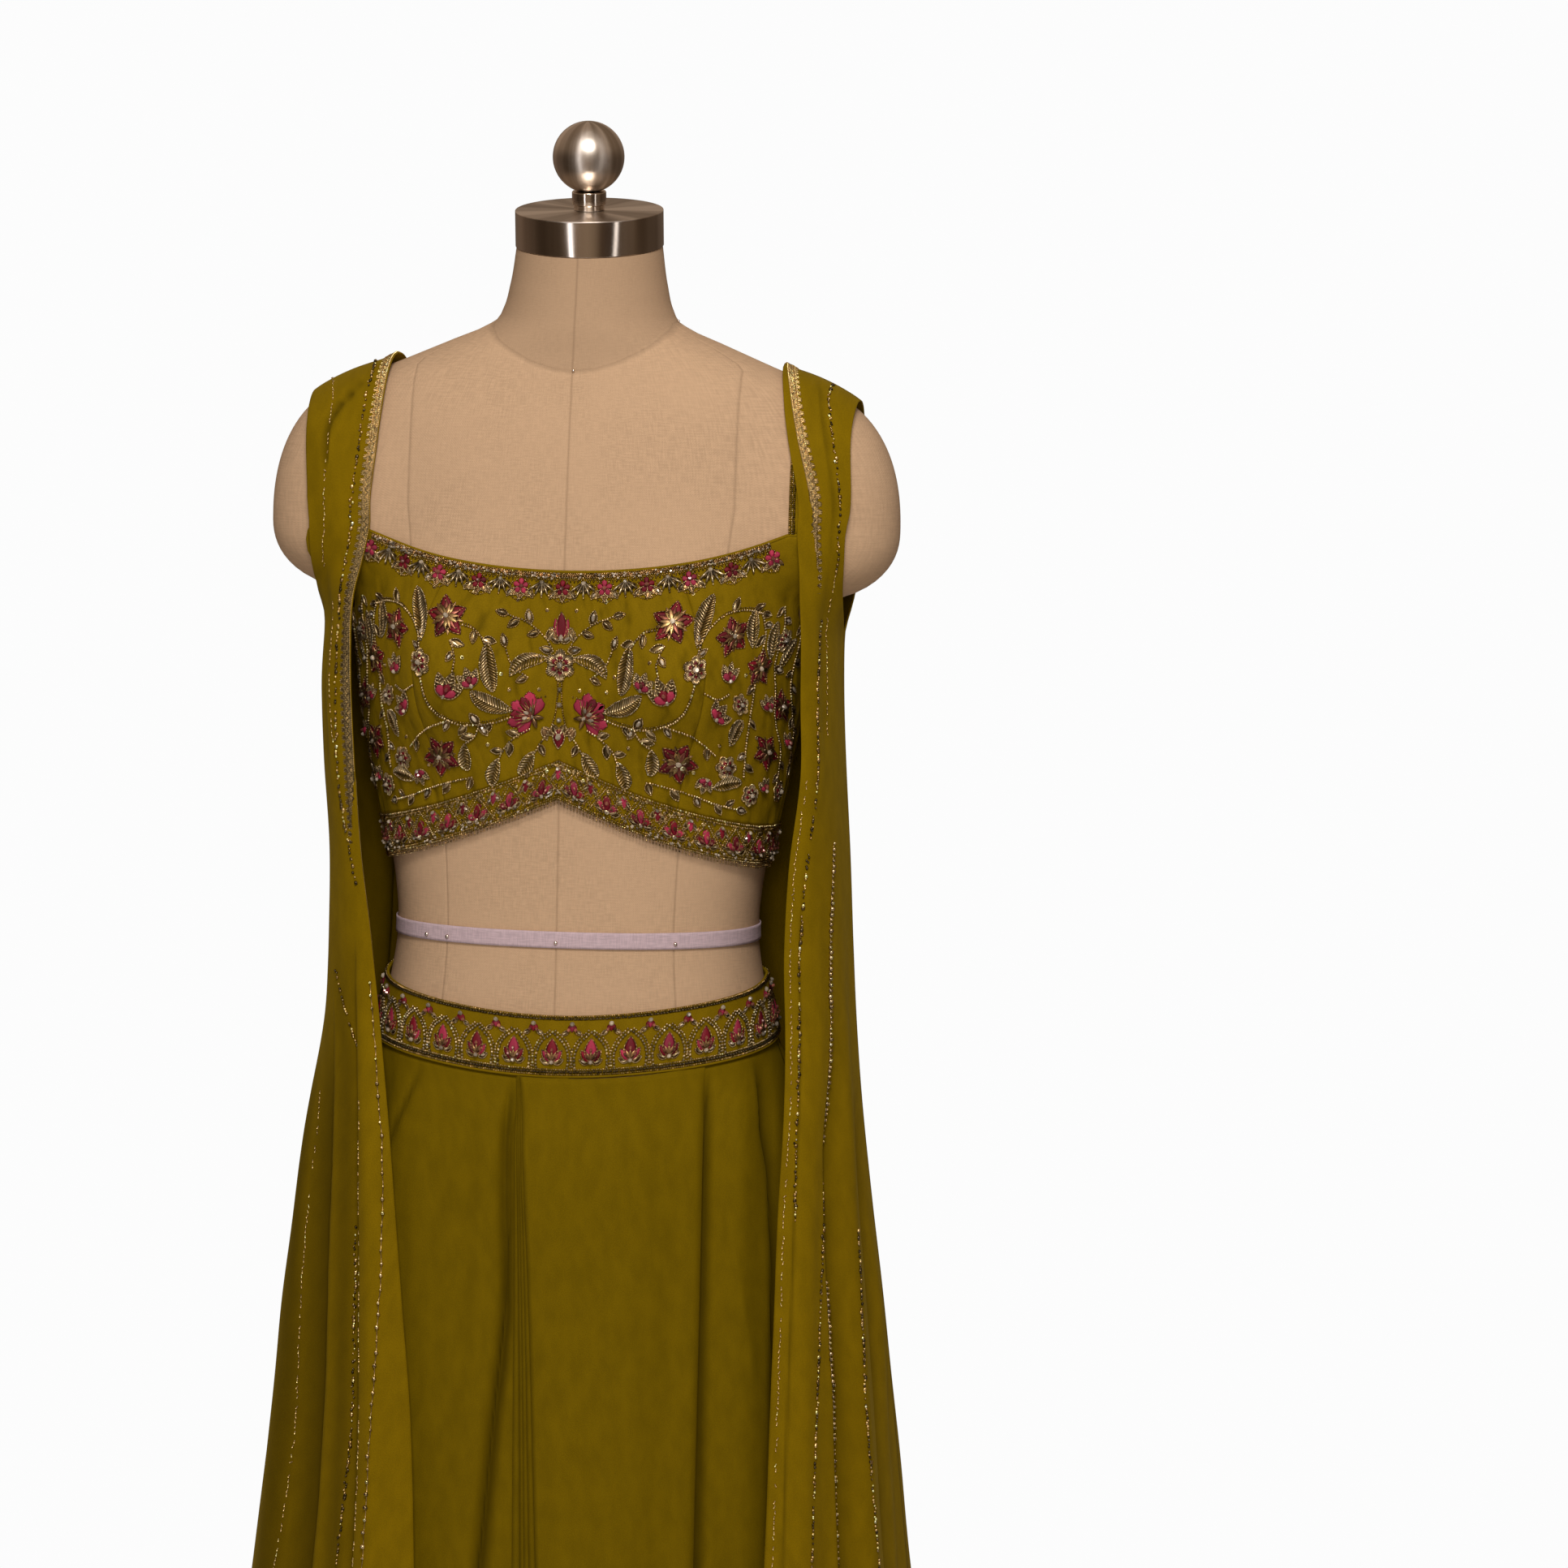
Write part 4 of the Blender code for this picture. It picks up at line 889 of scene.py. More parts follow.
    def laid(self, kind, part):
        """Points, faces and tints of every piece of one kind, or nothing."""
        if not self.rows[kind]:
            return None
        rows = np.concatenate(self.rows[kind])
        tints = rows[:, 7:10] * self.random.lognormal(0.0, UNEVEN[part], (len(rows), 1))
        across, height, turn, length, width, thick, lift = rows[:, :7].T[..., None]
        # fade, where it is set, scales the tints by place: painted light and shade on the lace.
        if self.fade is not None:
            tints *= self.fade(across, height)
        if self.sink is not None:
            lift = lift + self.sink(across, height)
        shape, shape_faces = SHAPES[MADE_OF[kind][0]]
        turn = np.radians(turn)
        along, aside = shape[:, 0] * length, shape[:, 1] * width
        flat = np.stack([across + along * np.cos(turn) - aside * np.sin(turn),
                height + along * np.sin(turn) + aside * np.cos(turn),
                lift + shape[:, 2] * thick], -1) * MM
        starts = np.arange(len(rows))[:, None] * len(shape)
        faces = [starts + np.array(face if self.face.outward > 0 else face[::-1]) for face in shape_faces]
        return self.face.lay(flat).reshape(-1, 3), faces, np.repeat(tints, len(shape), axis=0)

    def make(self, name, slot="embroidered_cloth"):
        """One object for each part that the beadwork has: beads, threads, silk and stones."""
        made = []
        for part, finish in BEAD_FINISH.items():
            laid = [self.laid(kind, part) for kind in MADE_OF if MADE_OF[kind][1] == part]
            points, faces, tints, count = [], [], [], 0
            for some, blocks, colours in filter(None, laid):
                points.append(some)
                for block in blocks:
                    faces.extend((block + count).tolist())
                tints.append(colours)
                count += len(some)
            if points:
                piece = mesh_of(f"{name}_{part}", np.concatenate(points), faces, smooth=part != "stones")
                tint = piece.data.color_attributes.new(name="tint", type="FLOAT_COLOR", domain="POINT")
                tint.data.foreach_set("color", np.column_stack([np.concatenate(tints), np.ones(count)]).ravel())
                made.append(dressed(piece, finish, slot))
        return made


# Finishes


def node(tree, kind, *inputs, **settings):
    """New shader node with its settings, each input in order linked to a socket or set to a value."""
    made = tree.nodes.new("ShaderNode" + kind)
    for name, value in settings.items():
        setattr(made, name, value)
    for k, given in enumerate(inputs):
        if isinstance(given, bpy.types.NodeSocket):
            tree.links.new(given, made.inputs[k])
        elif given is not None:
            made.inputs[k].default_value = given
    return made


def span(value, low, high, start=0.0, end=1.0, ease="SMOOTHSTEP"):
    """Output of a climb from one value to another."""
    return joined("MapRange", value, low, high, start, end, interpolation_type=ease)[0]


def joined(kind, *inputs, **settings):
    """New node in the tree of the first socket among its inputs."""
    tree = next(given for given in inputs if isinstance(given, bpy.types.NodeSocket)).id_data
    return node(tree, kind, *inputs, **settings).outputs


def maths(operation, *values):
    """Output of a Math node."""
    return joined("Math", *values, operation=operation)[0]


def times(a, b):
    return maths("MULTIPLY", a, b)


def plus(a, b):
    return maths("ADD", a, b)


def mixed(factor, a, b, way="MIX"):
    """Colour output of a mix of two colours, which are the Mix node's inputs 6 and 7."""
    return joined("Mix", factor, *5 * [None], a, b, data_type="RGBA", blend_type=way)[2]


def noise(vector, scale, detail=2.0, rough=0.5):
    """Factor output of a noise texture."""
    return joined("TexNoise", vector, None, scale, detail, rough)[0]


def stretched(vector, scale):
    """Vector scaled by three numbers."""
    return joined("VectorMath", vector, scale, operation="MULTIPLY")[0]


def group(name, labels, formula):
    """Shader group from a cloth's places and a number to a height and a tone, by a formula."""
    tree = bpy.data.node_groups.new(name, "ShaderNodeTree")
    for way, label, kind in zip(("INPUT", "INPUT", "OUTPUT", "OUTPUT"), labels, ("Vector", *3 * ["Float"])):
        tree.interface.new_socket(label, in_out=way, socket_type="NodeSocket" + kind)
    given, out = tree.nodes.new("NodeGroupInput"), tree.nodes.new("NodeGroupOutput")
    for value, socket in zip(formula(*given.outputs[:2]), out.inputs):
        tree.links.new(value, socket)
    return tree


def woven_threads(place, threads):
    """Plain weave: the product of two sines across and along, with uneven thicker threads."""
    across = joined("SeparateXYZ", place)
    waves = [maths("SINE", times(across[k], times(threads, math.pi))) for k in (0, 1)]
    warp, weft = (noise(stretched(place, scale), 1.0, 1.0) for scale in ((1100, 120, 1), (120, 1100, 1)))
    uneven = times(plus(warp, weft), 0.5)
    return plus(times(times(*waves), 0.25), uneven), uneven


def crepe_crinkle(place, fineness):
    """Crepe: fine pebbled noise over a middling crumple."""
    pebble = noise(place, fineness, 3.0, 0.6)
    crumple = noise(stretched(place, (1, 0.45, 1)), 110.0, 3.0)
    return plus(times(pebble, 0.6), times(crumple, 0.7)), plus(times(crumple, 0.35), times(pebble, 0.65))


class Finish:
    """Material with one Principled shader, and short ways to join things to it."""

    def __init__(self, name, colour, **constants):
        self.material = bpy.data.materials.new(name)
        self.material.use_nodes = True
        self.tree = self.material.node_tree
        self.shader = self.tree.nodes["Principled BSDF"]
        for label, value in {"Base Color": (*colour, 1.0), **constants}.items():
            self.shader.inputs[label.replace("_", " ")].default_value = value
        self.material.diffuse_color = (*colour, 1.0)

    def read(self, kind, output, **settings):
        """Output of a node that reads the surface."""
        return node(self.tree, kind, **settings).outputs[output]

    def join(self, **outputs):
        for socket, output in outputs.items():
            self.tree.links.new(output, self.shader.inputs[socket.replace("_", " ")])

    def bump(self, height, distance, strength=1.0):
        made = node(self.tree, "Bump", strength, distance)
        self.tree.links.new(height, made.inputs["Height"])
        self.join(Normal=made.outputs[0])


def shade(colour, factor):
    return tuple(min(1.0, part * factor) for part in colour) + (1.0,)


def cloth_finish(name, colour, pattern, fineness, tone, shades, bump, marks=(), cloudy=False, **constants):
    """Cloth: a darker to a lighter shade by one output of its pattern, darkened again at its marks: painted shade in
    folds and on the neck, or darker seam lines.

    Tone is (output, low, high), and a mark is (attribute, share, shade).
    """
    made = Finish(name, colour, **constants)
    place = made.read("UVMap", 0, uv_map="cloth")
    placed = joined("Group", place, fineness, node_tree=pattern)
    base = mixed(span(placed[tone[0]], *tone[1:]), *(shade(colour, factor) for factor in shades))
    if cloudy:
        base = mixed(span(noise(place, 18.0, 3.0), 0.35, 0.65, 0.0, 0.5), base, shade(colour, 1.05))
    for attribute, share, factor in marks:
        mark = made.read("Attribute", "Fac", attribute_name=attribute)
        base = mixed(times(mark, share), base, shade(colour, factor))
    made.join(Base_Color=base)
    made.bump(placed[0], *bump)
    return made.material


def crepe_finish(name, colour, pebble=1500.0):
    """Olive crepe: pebbled and crumpled, with painted shade wherever its fold mark says it lies in a fold."""
    # The fold mark is painted shade: it mixes the colour up to 85% of the way to a fifth of itself.
    return cloth_finish(name, colour, CRINKLE, pebble, (1, 0.36, 0.64), (0.84, 1.14), (0.0003, 0.5),
            [("fold", 0.85, 0.2)], Roughness=0.75, Specular_IOR_Level=0.1, Sheen_Weight=0.12,
            Sheen_Roughness=0.5, Sheen_Tint=(0.75, 0.5, 0.02, 1.0),
            Specular_Tint=(0.9, 0.7, 0.25, 1.0))


def steel_finish(name, lean=0.0, pivot=0.0, rough=0.09, dull=-1.0):
    """Turned steel: fine rings of scratches about the axis that leans forwards from the pivot's height.

    The face at the height `dull` along that axis is brushed rougher. Light and dark fans round the axis are painted
    reflections in its colour.
    """
    made = Finish(name, (0.74, 0.68, 0.62), Metallic=1.0)
    place = made.read("TexCoord", "Object")
    upright = joined("Mapping", place, (0, pivot * math.sin(-lean), 0), (-lean, 0, 0))[0]
    x, y, height = joined("SeparateXYZ", upright)
    radius = joined("VectorMath", joined("CombineXYZ", x, y)[0], operation="LENGTH")["Value"]
    rings = noise(joined("CombineXYZ", radius, height)[0], 2600.0, 1.0)
    # Painted reflection: noise by the turn about the axis sets light and dark fans and upright streaks in the
    # colour.
    fan = noise(joined("CombineXYZ", maths("ARCTAN2", x, y))[0], 1.2, 3.0)
    face = maths("LESS_THAN", maths("ABSOLUTE", maths("SUBTRACT", height, dull)), 0.0008)
    made.join(Roughness=plus(span(noise(place, 16.0, 3.0), 0.3, 0.7, rough, rough + 0.05), times(face, 0.2)),
            Base_Color=mixed(span(fan, 0.35, 0.65), (0.3, 0.23, 0.165, 1), (0.92, 0.82, 0.72, 1)))
    made.bump(rings, 0.00003)
    return made.material


def tinted_finish(name, bumpy=False, **constants):
    """Finish whose colour comes from each bead's own tint."""
    made = Finish(name, (0.6, 0.4, 0.2), **constants)
    place = made.read("TexCoord", "Object")
    grain = mixed(noise(place, 1400.0, 2.0), (0.72, 0.72, 0.72, 1), (1.2, 1.2, 1.2, 1))
    tint = made.read("Attribute", "Color", attribute_name="tint")
    made.join(Base_Color=mixed(1.0, tint, grain, "MULTIPLY"))
    if bumpy:
        made.bump(noise(place, 2600.0, 2.0), 0.0002, 0.8)
    return made.material


WEAVE = group("woven threads", ("Cloth", "Threads", "Height", "Uneven"), woven_threads)
CRINKLE = group("crepe crinkle", ("Cloth", "Pebble", "Height", "Shade"), crepe_crinkle)
# Linen: the neck mark paints shade on the linen above the neck seam; the seam mark darkens the seam lines.
LINEN = cloth_finish("linen", (0.56, 0.35, 0.203), WEAVE, 1250.0, (1, 0.3, 0.7), (0.885, 1.095),
        (0.00022, 0.7), [("neck", 0.5, 0.62), ("seam", 0.33, 0.3)], True,
        Roughness=0.9, Specular_IOR_Level=0.15)
CREPE = crepe_finish("jacket_crepe", (0.196, 0.113, 0.0011))
SKIRT_CREPE = crepe_finish("skirt_crepe", (0.16, 0.095, 0.001))
TOP_CREPE = crepe_finish("top_crepe", (0.196, 0.115, 0.002), 1300.0)
TAPE = cloth_finish("tape", (0.56, 0.4, 0.41), WEAVE, 1600.0, (1, 0.35, 0.65), (0.86, 1.1),
        (0.0002, 0.6), Roughness=0.85)
STEEL = steel_finish("steel")
CAP_STEEL = steel_finish("cap_steel_finish", NECK_LEAN, CAP["bottom"], 0.1,
        CAP["bottom"] * math.cos(NECK_LEAN) + CAP["height"])
KNOB_STEEL = steel_finish("knob_steel_finish", NECK_LEAN, CAP["bottom"], 0.3)
LACE_NET = cloth_finish("lace_net", (0.58, 0.38, 0.13), WEAVE, 1400.0, (0, 0.35, 0.75), (0.6, 1.4),
        (0.0004, 0.9), Roughness=0.45, Metallic=0.4)
BEAD_FINISH = {
    "beads": tinted_finish("bead_gold", Roughness=0.28, Metallic=1.0),
    "threads": tinted_finish("bead_thread", Roughness=0.36, Metallic=0.9),
    "silk": tinted_finish("bead_silk", True, Roughness=0.6, Specular_IOR_Level=0.3),
    "stones": tinted_finish("bead_stone", Roughness=0.06, Metallic=0.35, Coat_Weight=1.0,
                            Coat_Roughness=0.03),
}


# Form and stand


def leaned(p):
    """The neck's upper end tipped forwards to meet the cap."""
    share = climb(p[..., 2], NECK_LEAN_FROM, FORM_NECK)
    tipped = p.copy()
    tipped[..., 2] += math.tan(NECK_LEAN) * p[..., 1] * share
    return tipped


def crowded(count, ends=2):
    """Shares from 0 to 1 that crowd together at the start, and at the end too, beside seams."""
    near = np.array((0.0, 0.004, 0.01, 0.019, 0.034))
    far = 1 - near[::-1] if ends == 2 else np.array((1.0,))
    return np.concatenate([near[:-1], np.linspace(near[-1], far[0], count), far[1:]])


def princess_line():
    """Heights and turns of the side front seam: measured turns, then straight up at the last one's x."""
    heights, turns = np.array(PRINCESS_SEAM, float).T
    x = round_form(turns[-1], heights[-1])[..., 0]
    above = np.linspace(heights[-1], SEAM_STRAIGHT_TO, 14)[1:]
    turn = np.full(above.shape, turns[-1])
    for _ in range(30):
        back = round_form(turn, above)[..., 1]
        turn = 0.6 * turn + 0.4 * np.minimum(np.degrees(np.arctan2(x, -back)), 86.0)
    return np.concatenate([heights, above]), np.concatenate([turns, turn])


def make_form():
    """Linen skin: rings of the body's field whose columns run down the seams, which lie sunk in it.

    A column's code runs 0, 0.5, 1 for centre front, the princess seam and the side, and is
    mirrored to the back. Rows crowd beside the neck seam.
    """
    half = np.concatenate([0.5 * crowded(20)[:-1], 0.5 + 0.5 * crowded(13, 1)])
    quarter = np.concatenate([half, 2 - half[-2::-1]])
    code = np.concatenate([-quarter[:0:-1], quarter])[None, :]
    far = np.abs(code)
    near = np.where(far > 1, 2 - far, far)
    down = np.concatenate([1 + crowded(34, 1)[::-1], 1 - crowded(180, 1)[1:]])[:, None]
    turn = near * 90
    princess_path = princess_line()
    for _ in range(4):
        seam = np.interp(np.where(far > 1, 180 - turn, turn), *zip(*NECK_SEAM))
        height = np.where(down > 1, seam + (FORM_NECK - seam) * (down - 1), FORM_FOOT + (seam - FORM_FOOT) * down)
        princess = np.interp(height, *princess_path)
        turn = np.where(near < 0.5, princess * near * 2, princess + (90 - princess) * (near * 2 - 1))
    whole = np.sign(code) * np.where(far > 1, 180 - turn, turn)
    p = round_form(whole, height)
    beside = np.where(down <= 1, np.abs(turn - princess), 90.0)
    middle = np.where(far > 1, 180.0, 0.0) + turn
    aside = np.minimum(middle, beside) * math.pi / 180 * np.hypot(p[..., 0], p[..., 1])
    sunk = np.maximum(np.exp(-(aside / 0.0006) ** 2), np.exp(-((height - seam) / 0.0007) ** 2))
    p = leaned(round_form(whole, height, -0.0004 * sunk))
    rows, columns = p.shape[:2]
    uv = np.stack([np.radians(whole) * LINEN_RADIUS, height], -1)
    last = rows * columns - 1
    ends = [range(columns - 1), range(last - 1, last - columns, -1)]
    made = mesh_of("form_linen", p, [*grid_faces(rows, columns), *map(list, ends)], uv)
    marked(made, "seam", sunk)
    # Painted shade: the linen above the neck seam is marked to be drawn darker, as the neck gets less light.
    marked(made, "neck", smooth_step((height - seam) / 0.002) + 0 * sunk)
    merged(made)
    made.data.set_sharp_from_angle(angle=math.radians(50))
    dressed(made, LINEN, "linen", "form_torso")
    heights = np.linspace(TAPE_HEIGHTS[1], TAPE_HEIGHTS[0], 7)[:, None]
    tape = round_form(np.linspace(-180, 180, 181), heights, TAPE_OUT)
    cloth("tape_band", tape, TAPE_WALL, TAPE, "tape", "waist_tape", "stretched", ["form_linen"], closed=True)
    studs("tape_pins", [*round_form(TAPE_PINS, np.full(4, 1.038), 0.0017),
                        leaned(round_form(0.8, 1.4155, 0.0006)), leaned(round_form(89.0, 1.4488, 0.0004))],
          (0.0014, 0.0014, 0.0014, 0.0014, 0.001, 0.0009))


def marked(made, name, values):
    """Number from 0 to 1 kept for every point, which the finishes read by its name."""
    mark = made.data.attributes.new(name, "FLOAT", "POINT")
    mark.data.foreach_set("value", np.asarray(values, np.float32).ravel())


def studs(name, places, radii):
    """Small balls at the given places: rings of sine and cosine."""
    up = np.linspace(0, math.pi, 9)[:, None]
    turn = circle(12)[None, :]
    ball = np.stack([np.sin(up) * np.cos(turn), np.sin(up) * np.sin(turn), np.cos(up) + 0 * turn], -1)
    one = grid_faces(*ball.shape[:2], closed=True)
    points = np.concatenate([(ball * radius + place).reshape(-1, 3) for place, radius in zip(places, radii)])
    size = ball.size // 3
    faces = [[k + n * size for k in face] for n in range(len(places)) for face in one]
    return dressed(merged(mesh_of(name, points, faces)), STEEL, "steel")


def make_fittings():
    """Cap, knob, pole, collar and base, turned finer than the frame's, with rounded edges."""
    def edge(radius, height, bevel, outward=1):
        a = np.linspace(0, math.pi / 2, 6)
        return [(radius - bevel + bevel * math.sin(k), height - outward * (bevel - bevel * math.cos(k))) for k in a]

    def disc(radius, height, upper, lower):
        return [(0, height), *edge(radius, height, upper), *edge(radius, 0, lower, -1)[::-1], (0, 0)]

    def along(rise):
        return (0, -math.sin(NECK_LEAN) * rise, CAP["bottom"] + math.cos(NECK_LEAN) * rise)

    tall, bevel = CAP["height"], CAP["bevel"]
    turned("cap_steel", disc(CAP["radius"], tall, bevel, bevel), 128, CAP_STEEL, "neck_cap",
           (0, 0, CAP["bottom"]), NECK_LEAN)
    r, h = KNOB_COLLAR["radius"], KNOB_COLLAR["height"]
    foot = [(r, 0.3 * h), (r - 0.0012, 0.25 * h), (r - 0.0012, 0)]
    turned("knob_neck", [(0, h), *edge(r, h, 0.0012), *foot, (0, 0)], 64, CAP_STEEL,
           "knob_collar", along(tall + TOUCH), NECK_LEAN)
    angles = np.linspace(0.0, math.pi - math.acos(1 - KNOB_SEAT / KNOB_RADIUS), 40)
    ball = [(KNOB_RADIUS * math.sin(a), KNOB_RADIUS * math.cos(a)) for a in angles]
    centre = tall + h + 2 * TOUCH + KNOB_RADIUS - KNOB_SEAT
    turned("knob_round", [*ball, (0.0, ball[-1][1])], 64, KNOB_STEEL, "knob_ball", along(centre), NECK_LEAN)
    turned("base_plate", disc(BASE["radius"], BASE["height"], 0.004, 0.001), 128, STEEL, "stand_base", (0, 0, 0))
    low = BASE["height"] + TOUCH
    outer, tall = BASE["collar_radius"], BASE["collar_height"]
    inner = POLE_RADIUS + TOUCH
    ring = [(inner, tall), *edge(outer, tall, 0.006), (outer, 0), (inner, 0), (inner, tall)]
    merged(turned("base_socket", ring, 96, STEEL, "base_collar", (0, 0, low)))
    top = FORM_FOOT - TOUCH - low
    turned("pole_tube", [(0, top), (POLE_RADIUS, top), (POLE_RADIUS, 0), (0, 0)], 64, STEEL,
           "stand_pole", (0, 0, low))


# Crop top


def top_hem(p):
    """Height of the crop top's hem beside a point: a peak at centre front, level behind."""
    x = np.abs(p[..., 0])
    fall = np.clip(x / HEM_REACH, 0.0, 1.0)
    front = HEM_PEAK - (HEM_PEAK - HEM_SIDE) * (1.25 * fall - 0.25 * fall ** 2.5)
    side = smooth_step((p[..., 1] + 0.03) / 0.06)
    return front * (1 - side) + HEM_BACK * side


def top_upper(degrees):
    """Height of the crop top's upper edge at a turn: scooped neckline, low armhole, level back."""
    turn = np.abs((np.asarray(degrees, float) + 180.0) % 360.0 - 180.0)
    x = np.abs(round_form(turn, 0 * turn + NECKLINE["corner"])[..., 0])
    reach = np.clip(x / NECKLINE["corner_x"], 0.0, 1.0)
    neck = NECKLINE["middle"] + (NECKLINE["corner"] - NECKLINE["middle"]) * reach ** NECKLINE["power"]
    back = BACK_NECKLINE + (BACK_CORNER - BACK_NECKLINE) * reach ** NECKLINE["power"]
    low = climb(np.minimum(turn, 180.0 - turn), *ARMHOLE_TURNS)
    return np.where(turn < 90.0, neck, back) * (1 - low) + ARMHOLE_LOW * low


def top_hem_at(turns):
    return top_hem(round_form(turns, 0 * turns + HEM_PEAK))


def top_puckers(turn, height):
    """Long upright wrinkles of the crop top."""
    return (0.00055 * ripple(turn * 0.0021, height, 0.012, 11, stretch=2.6)
            + 0.00026 * ripple(turn * 0.0021, height, 0.005, 12, stretch=2.0))


def top_lift(turn, height):
    """How far the top's cloth stands off its mean: long puckers, sunk at the princess seams."""
    seam = (np.abs(turn) - PRINCESS) * math.pi / 180 * 0.12
    return top_puckers(turn, height) - 0.0006 * np.exp(-(seam / 0.0012) ** 2)


def tube(name, path, radius, finish, slot, sides=8):
    """Closed ring of round piping: a circle carried along a path, square to it."""
    way = unit(np.roll(path, -1, 0) - np.roll(path, 1, 0))
    one = unit(np.cross(way, path * (1, 1, 0) + 1e-9))
    two = np.cross(way, one)
    turn = circle(sides)[:, None]
    points = path[:, None] + radius * (np.cos(turn) * one[:, None] + np.sin(turn) * two[:, None])
    count = len(path) * sides
    faces = [[k % count for k in face] for face in grid_faces(len(path) + 1, sides, closed=True)]
    uv = np.stack(np.broadcast_arrays(turn.T * radius, lengths(path)[:, None]), -1)
    return dressed(mesh_of(name, points, faces, uv), finish, slot)


def strap_turns(x, front_height, back_height):
    """Turns over the shoulder at which a strap leaves the front and reaches the back."""
    front, back = 0 * x - 10.0, 0 * x + 200.0
    for _ in range(25):
        front -= 600.0 * (over_shoulder(x, front, STRAP_OUT)[..., 2] - front_height)
        back += 600.0 * (over_shoulder(x, back, STRAP_OUT)[..., 2] - back_height)
    return front, back


def make_top_cloth():
    """Crop top: princess-line front, back, hem bands, straps, and piping on the upper edge."""
    def above_band(turns):
        return top_hem_at(turns) + BAND_TALL

    for name, node_name, first, last, low, high, size in (
            ("top_front_cloth", "top_front", -PRINCESS, PRINCESS, above_band, top_upper, (150, 95)),
            ("top_side_cloth_right", "top_side_right", PRINCESS, 90.0, above_band, top_upper, (70, 80)),
            ("top_side_cloth_left", "top_side_left", -90.0, -PRINCESS, above_band, top_upper, (70, 80)),
            ("top_back_cloth", "top_back", 90.0, 270.0, above_band, top_upper, (150, 60)),
            ("hem_band_front", "top_band_front", -90.0, 90.0, top_hem_at, above_band, (200, 14)),
            ("hem_band_back", "top_band_back", 90.0, 270.0, top_hem_at, above_band, (200, 14))):
        look = (CREPE, "cloth") if node_name == "top_back" else (TOP_CREPE, "embroidered_cloth")
        turns = np.linspace(first, last, size[0])
        upper, lower = high(turns), low(turns)
        height = upper + (lower - upper) * np.linspace(0, 1, size[1])[:, None]
        points = round_form(turns, height, TOP_OUT + top_lift(turns, height))
        made = cloth(name, points, TOP_WALL, *look, node_name, "stretched", ["form_linen"])
        # Painted shade in the hollows of the puckers, read through the fold mark.
        marked(made, "fold", 0.75 * np.clip(-top_puckers(turns, height) / 0.0009 - 0.15, 0.0, 1.0))
    x = np.linspace(*STRAP_X, 12)
    front, back = strap_turns(x, NECKLINE["corner"] + 2 * SEAM, BACK_CORNER + 2 * SEAM)
    share = np.linspace(0.0, 1.0, 70)[:, None]
    for word, side in (("left", -1.0), ("right", 1.0)):
        points = over_shoulder(x, front + (back - front) * share, STRAP_OUT) * (side, 1, 1)
        cloth(f"strap_cloth_{word}", points, TOP_WALL, TOP_CREPE, "embroidered_cloth",
              f"top_strap_{word}", "stretched", ["form_linen"], outward=-side)
        work = Beadwork(Face(points + outward_of(points, -side) * TOP_WALL / 2, 0, 0.0, 0.004, -side), 40)
        for across, tint in ((0.8, "gold"), (2.3, "pale_gold"), (3.8, "old_gold"), (12.0, "gold")):
            work.beads(((across, -1), (across, -272)), 1.55, 1.5, tint)
        work.make(f"strap_beads_{word}")
    turns = np.linspace(-180, 180, 720, endpoint=False)
    edge = round_form(turns, top_upper(turns) + 0.0003, TOP_OUT)
    tube("top_piping", edge, 0.0011, TOP_CREPE, "embroidered_cloth")


def outward_of(points, outward):
    """Outward directions of a grid of points."""
    return unit(np.cross(np.gradient(points, axis=1), -np.gradient(points, axis=0)) * outward)


def top_face(top, bottom, first=-90.0, upper=None):
    """Face of half the crop top between two levels: heights, or distances from an edge."""
    turns = np.linspace(first, first + 180.0, 261)
    height = np.arange(top, bottom, -0.001)[:, None] + (upper(turns) if upper else 0)
    rows = round_form(turns, height, TOP_OUT + TOP_WALL / 2 - BEAD_SEAT + top_lift(turns, height))
    return Face(rows, 130, top, 0.001)


def make_top_beads():
    """Embroidery of the crop top: right half and its mirror image, about a centre line of flowers."""
    work = Beadwork(top_face(1.3125, 1.08), 21)
    flowers = [flower[:3] for flower in (*STARS, *ROSETTES, *HEARTS)] + [(17, 1190, 14), (0, 1222, 10)]
    flowers += [((a + c) / 2, (b + d) / 2, 8) for a, b, c, d, _, _ in THREAD_LEAVES]
    start = work.mark()
    for path in STEMS:
        work.beads(path, 1.95, 1.85, "leaf")
        work.sprays(path, flowers)
    for path in STEMS[3:6]:
        work.beads(np.array(path, float) + (0.8, 1.7), 1.6, 1.2, "old_gold")
    for leaf in THREAD_LEAVES:
        work.thread_leaf(leaf[:2], leaf[2:4], *leaf[4:])
    for flower in STARS:
        work.star(*flower)
    for flower in ROSETTES:
        work.rosette(*flower, turn=flower[0])
    for flower in HEARTS:
        work.heart(*flower)
    work.lotus(18, 1188, 17.5, 34)
    work.rimmed("gold_leaf", 11, 1181, (215, 250), 9, 4, 4.2, 1.2, 0.3, "bronze", 0.9, "pale_gold")
    for place in GLINTS:
        work.dot("sequin", place, 2.8, 0.9, 0.0, "bright_gold")
        work.dot("bead", place, 1.3, 1.2, 0.6, "silver")
    work.mirror(start)
    work.bud(0, 1238, 19, 90)
    work.leaf_pair(0, 1237, 9, 90, 62)
    work.rosette(0, 1222, 10.5, 30)
    for side in (-1, 1):
        work.beads(((side * 1.3, 1212), (side * 1.5, 1200), (side * 3.5, 1186), (side * 7.5, 1176)), 1.6, 1.5)
    work.rimmed("silk_point", 0, 1181, 270, 14, 8, 8.2, 1.8, 0.1, "crimson", 1.0, "pale_gold")
    work.add("stone", 0, 1175, 90, 4.6, 3.2, 2.0, 1.6, "clear")
    for v in (1206, 1196, 1186):
        work.dot("stone", (0, v), 3.4, 2.0, 0.6)
    work.make("top_work")


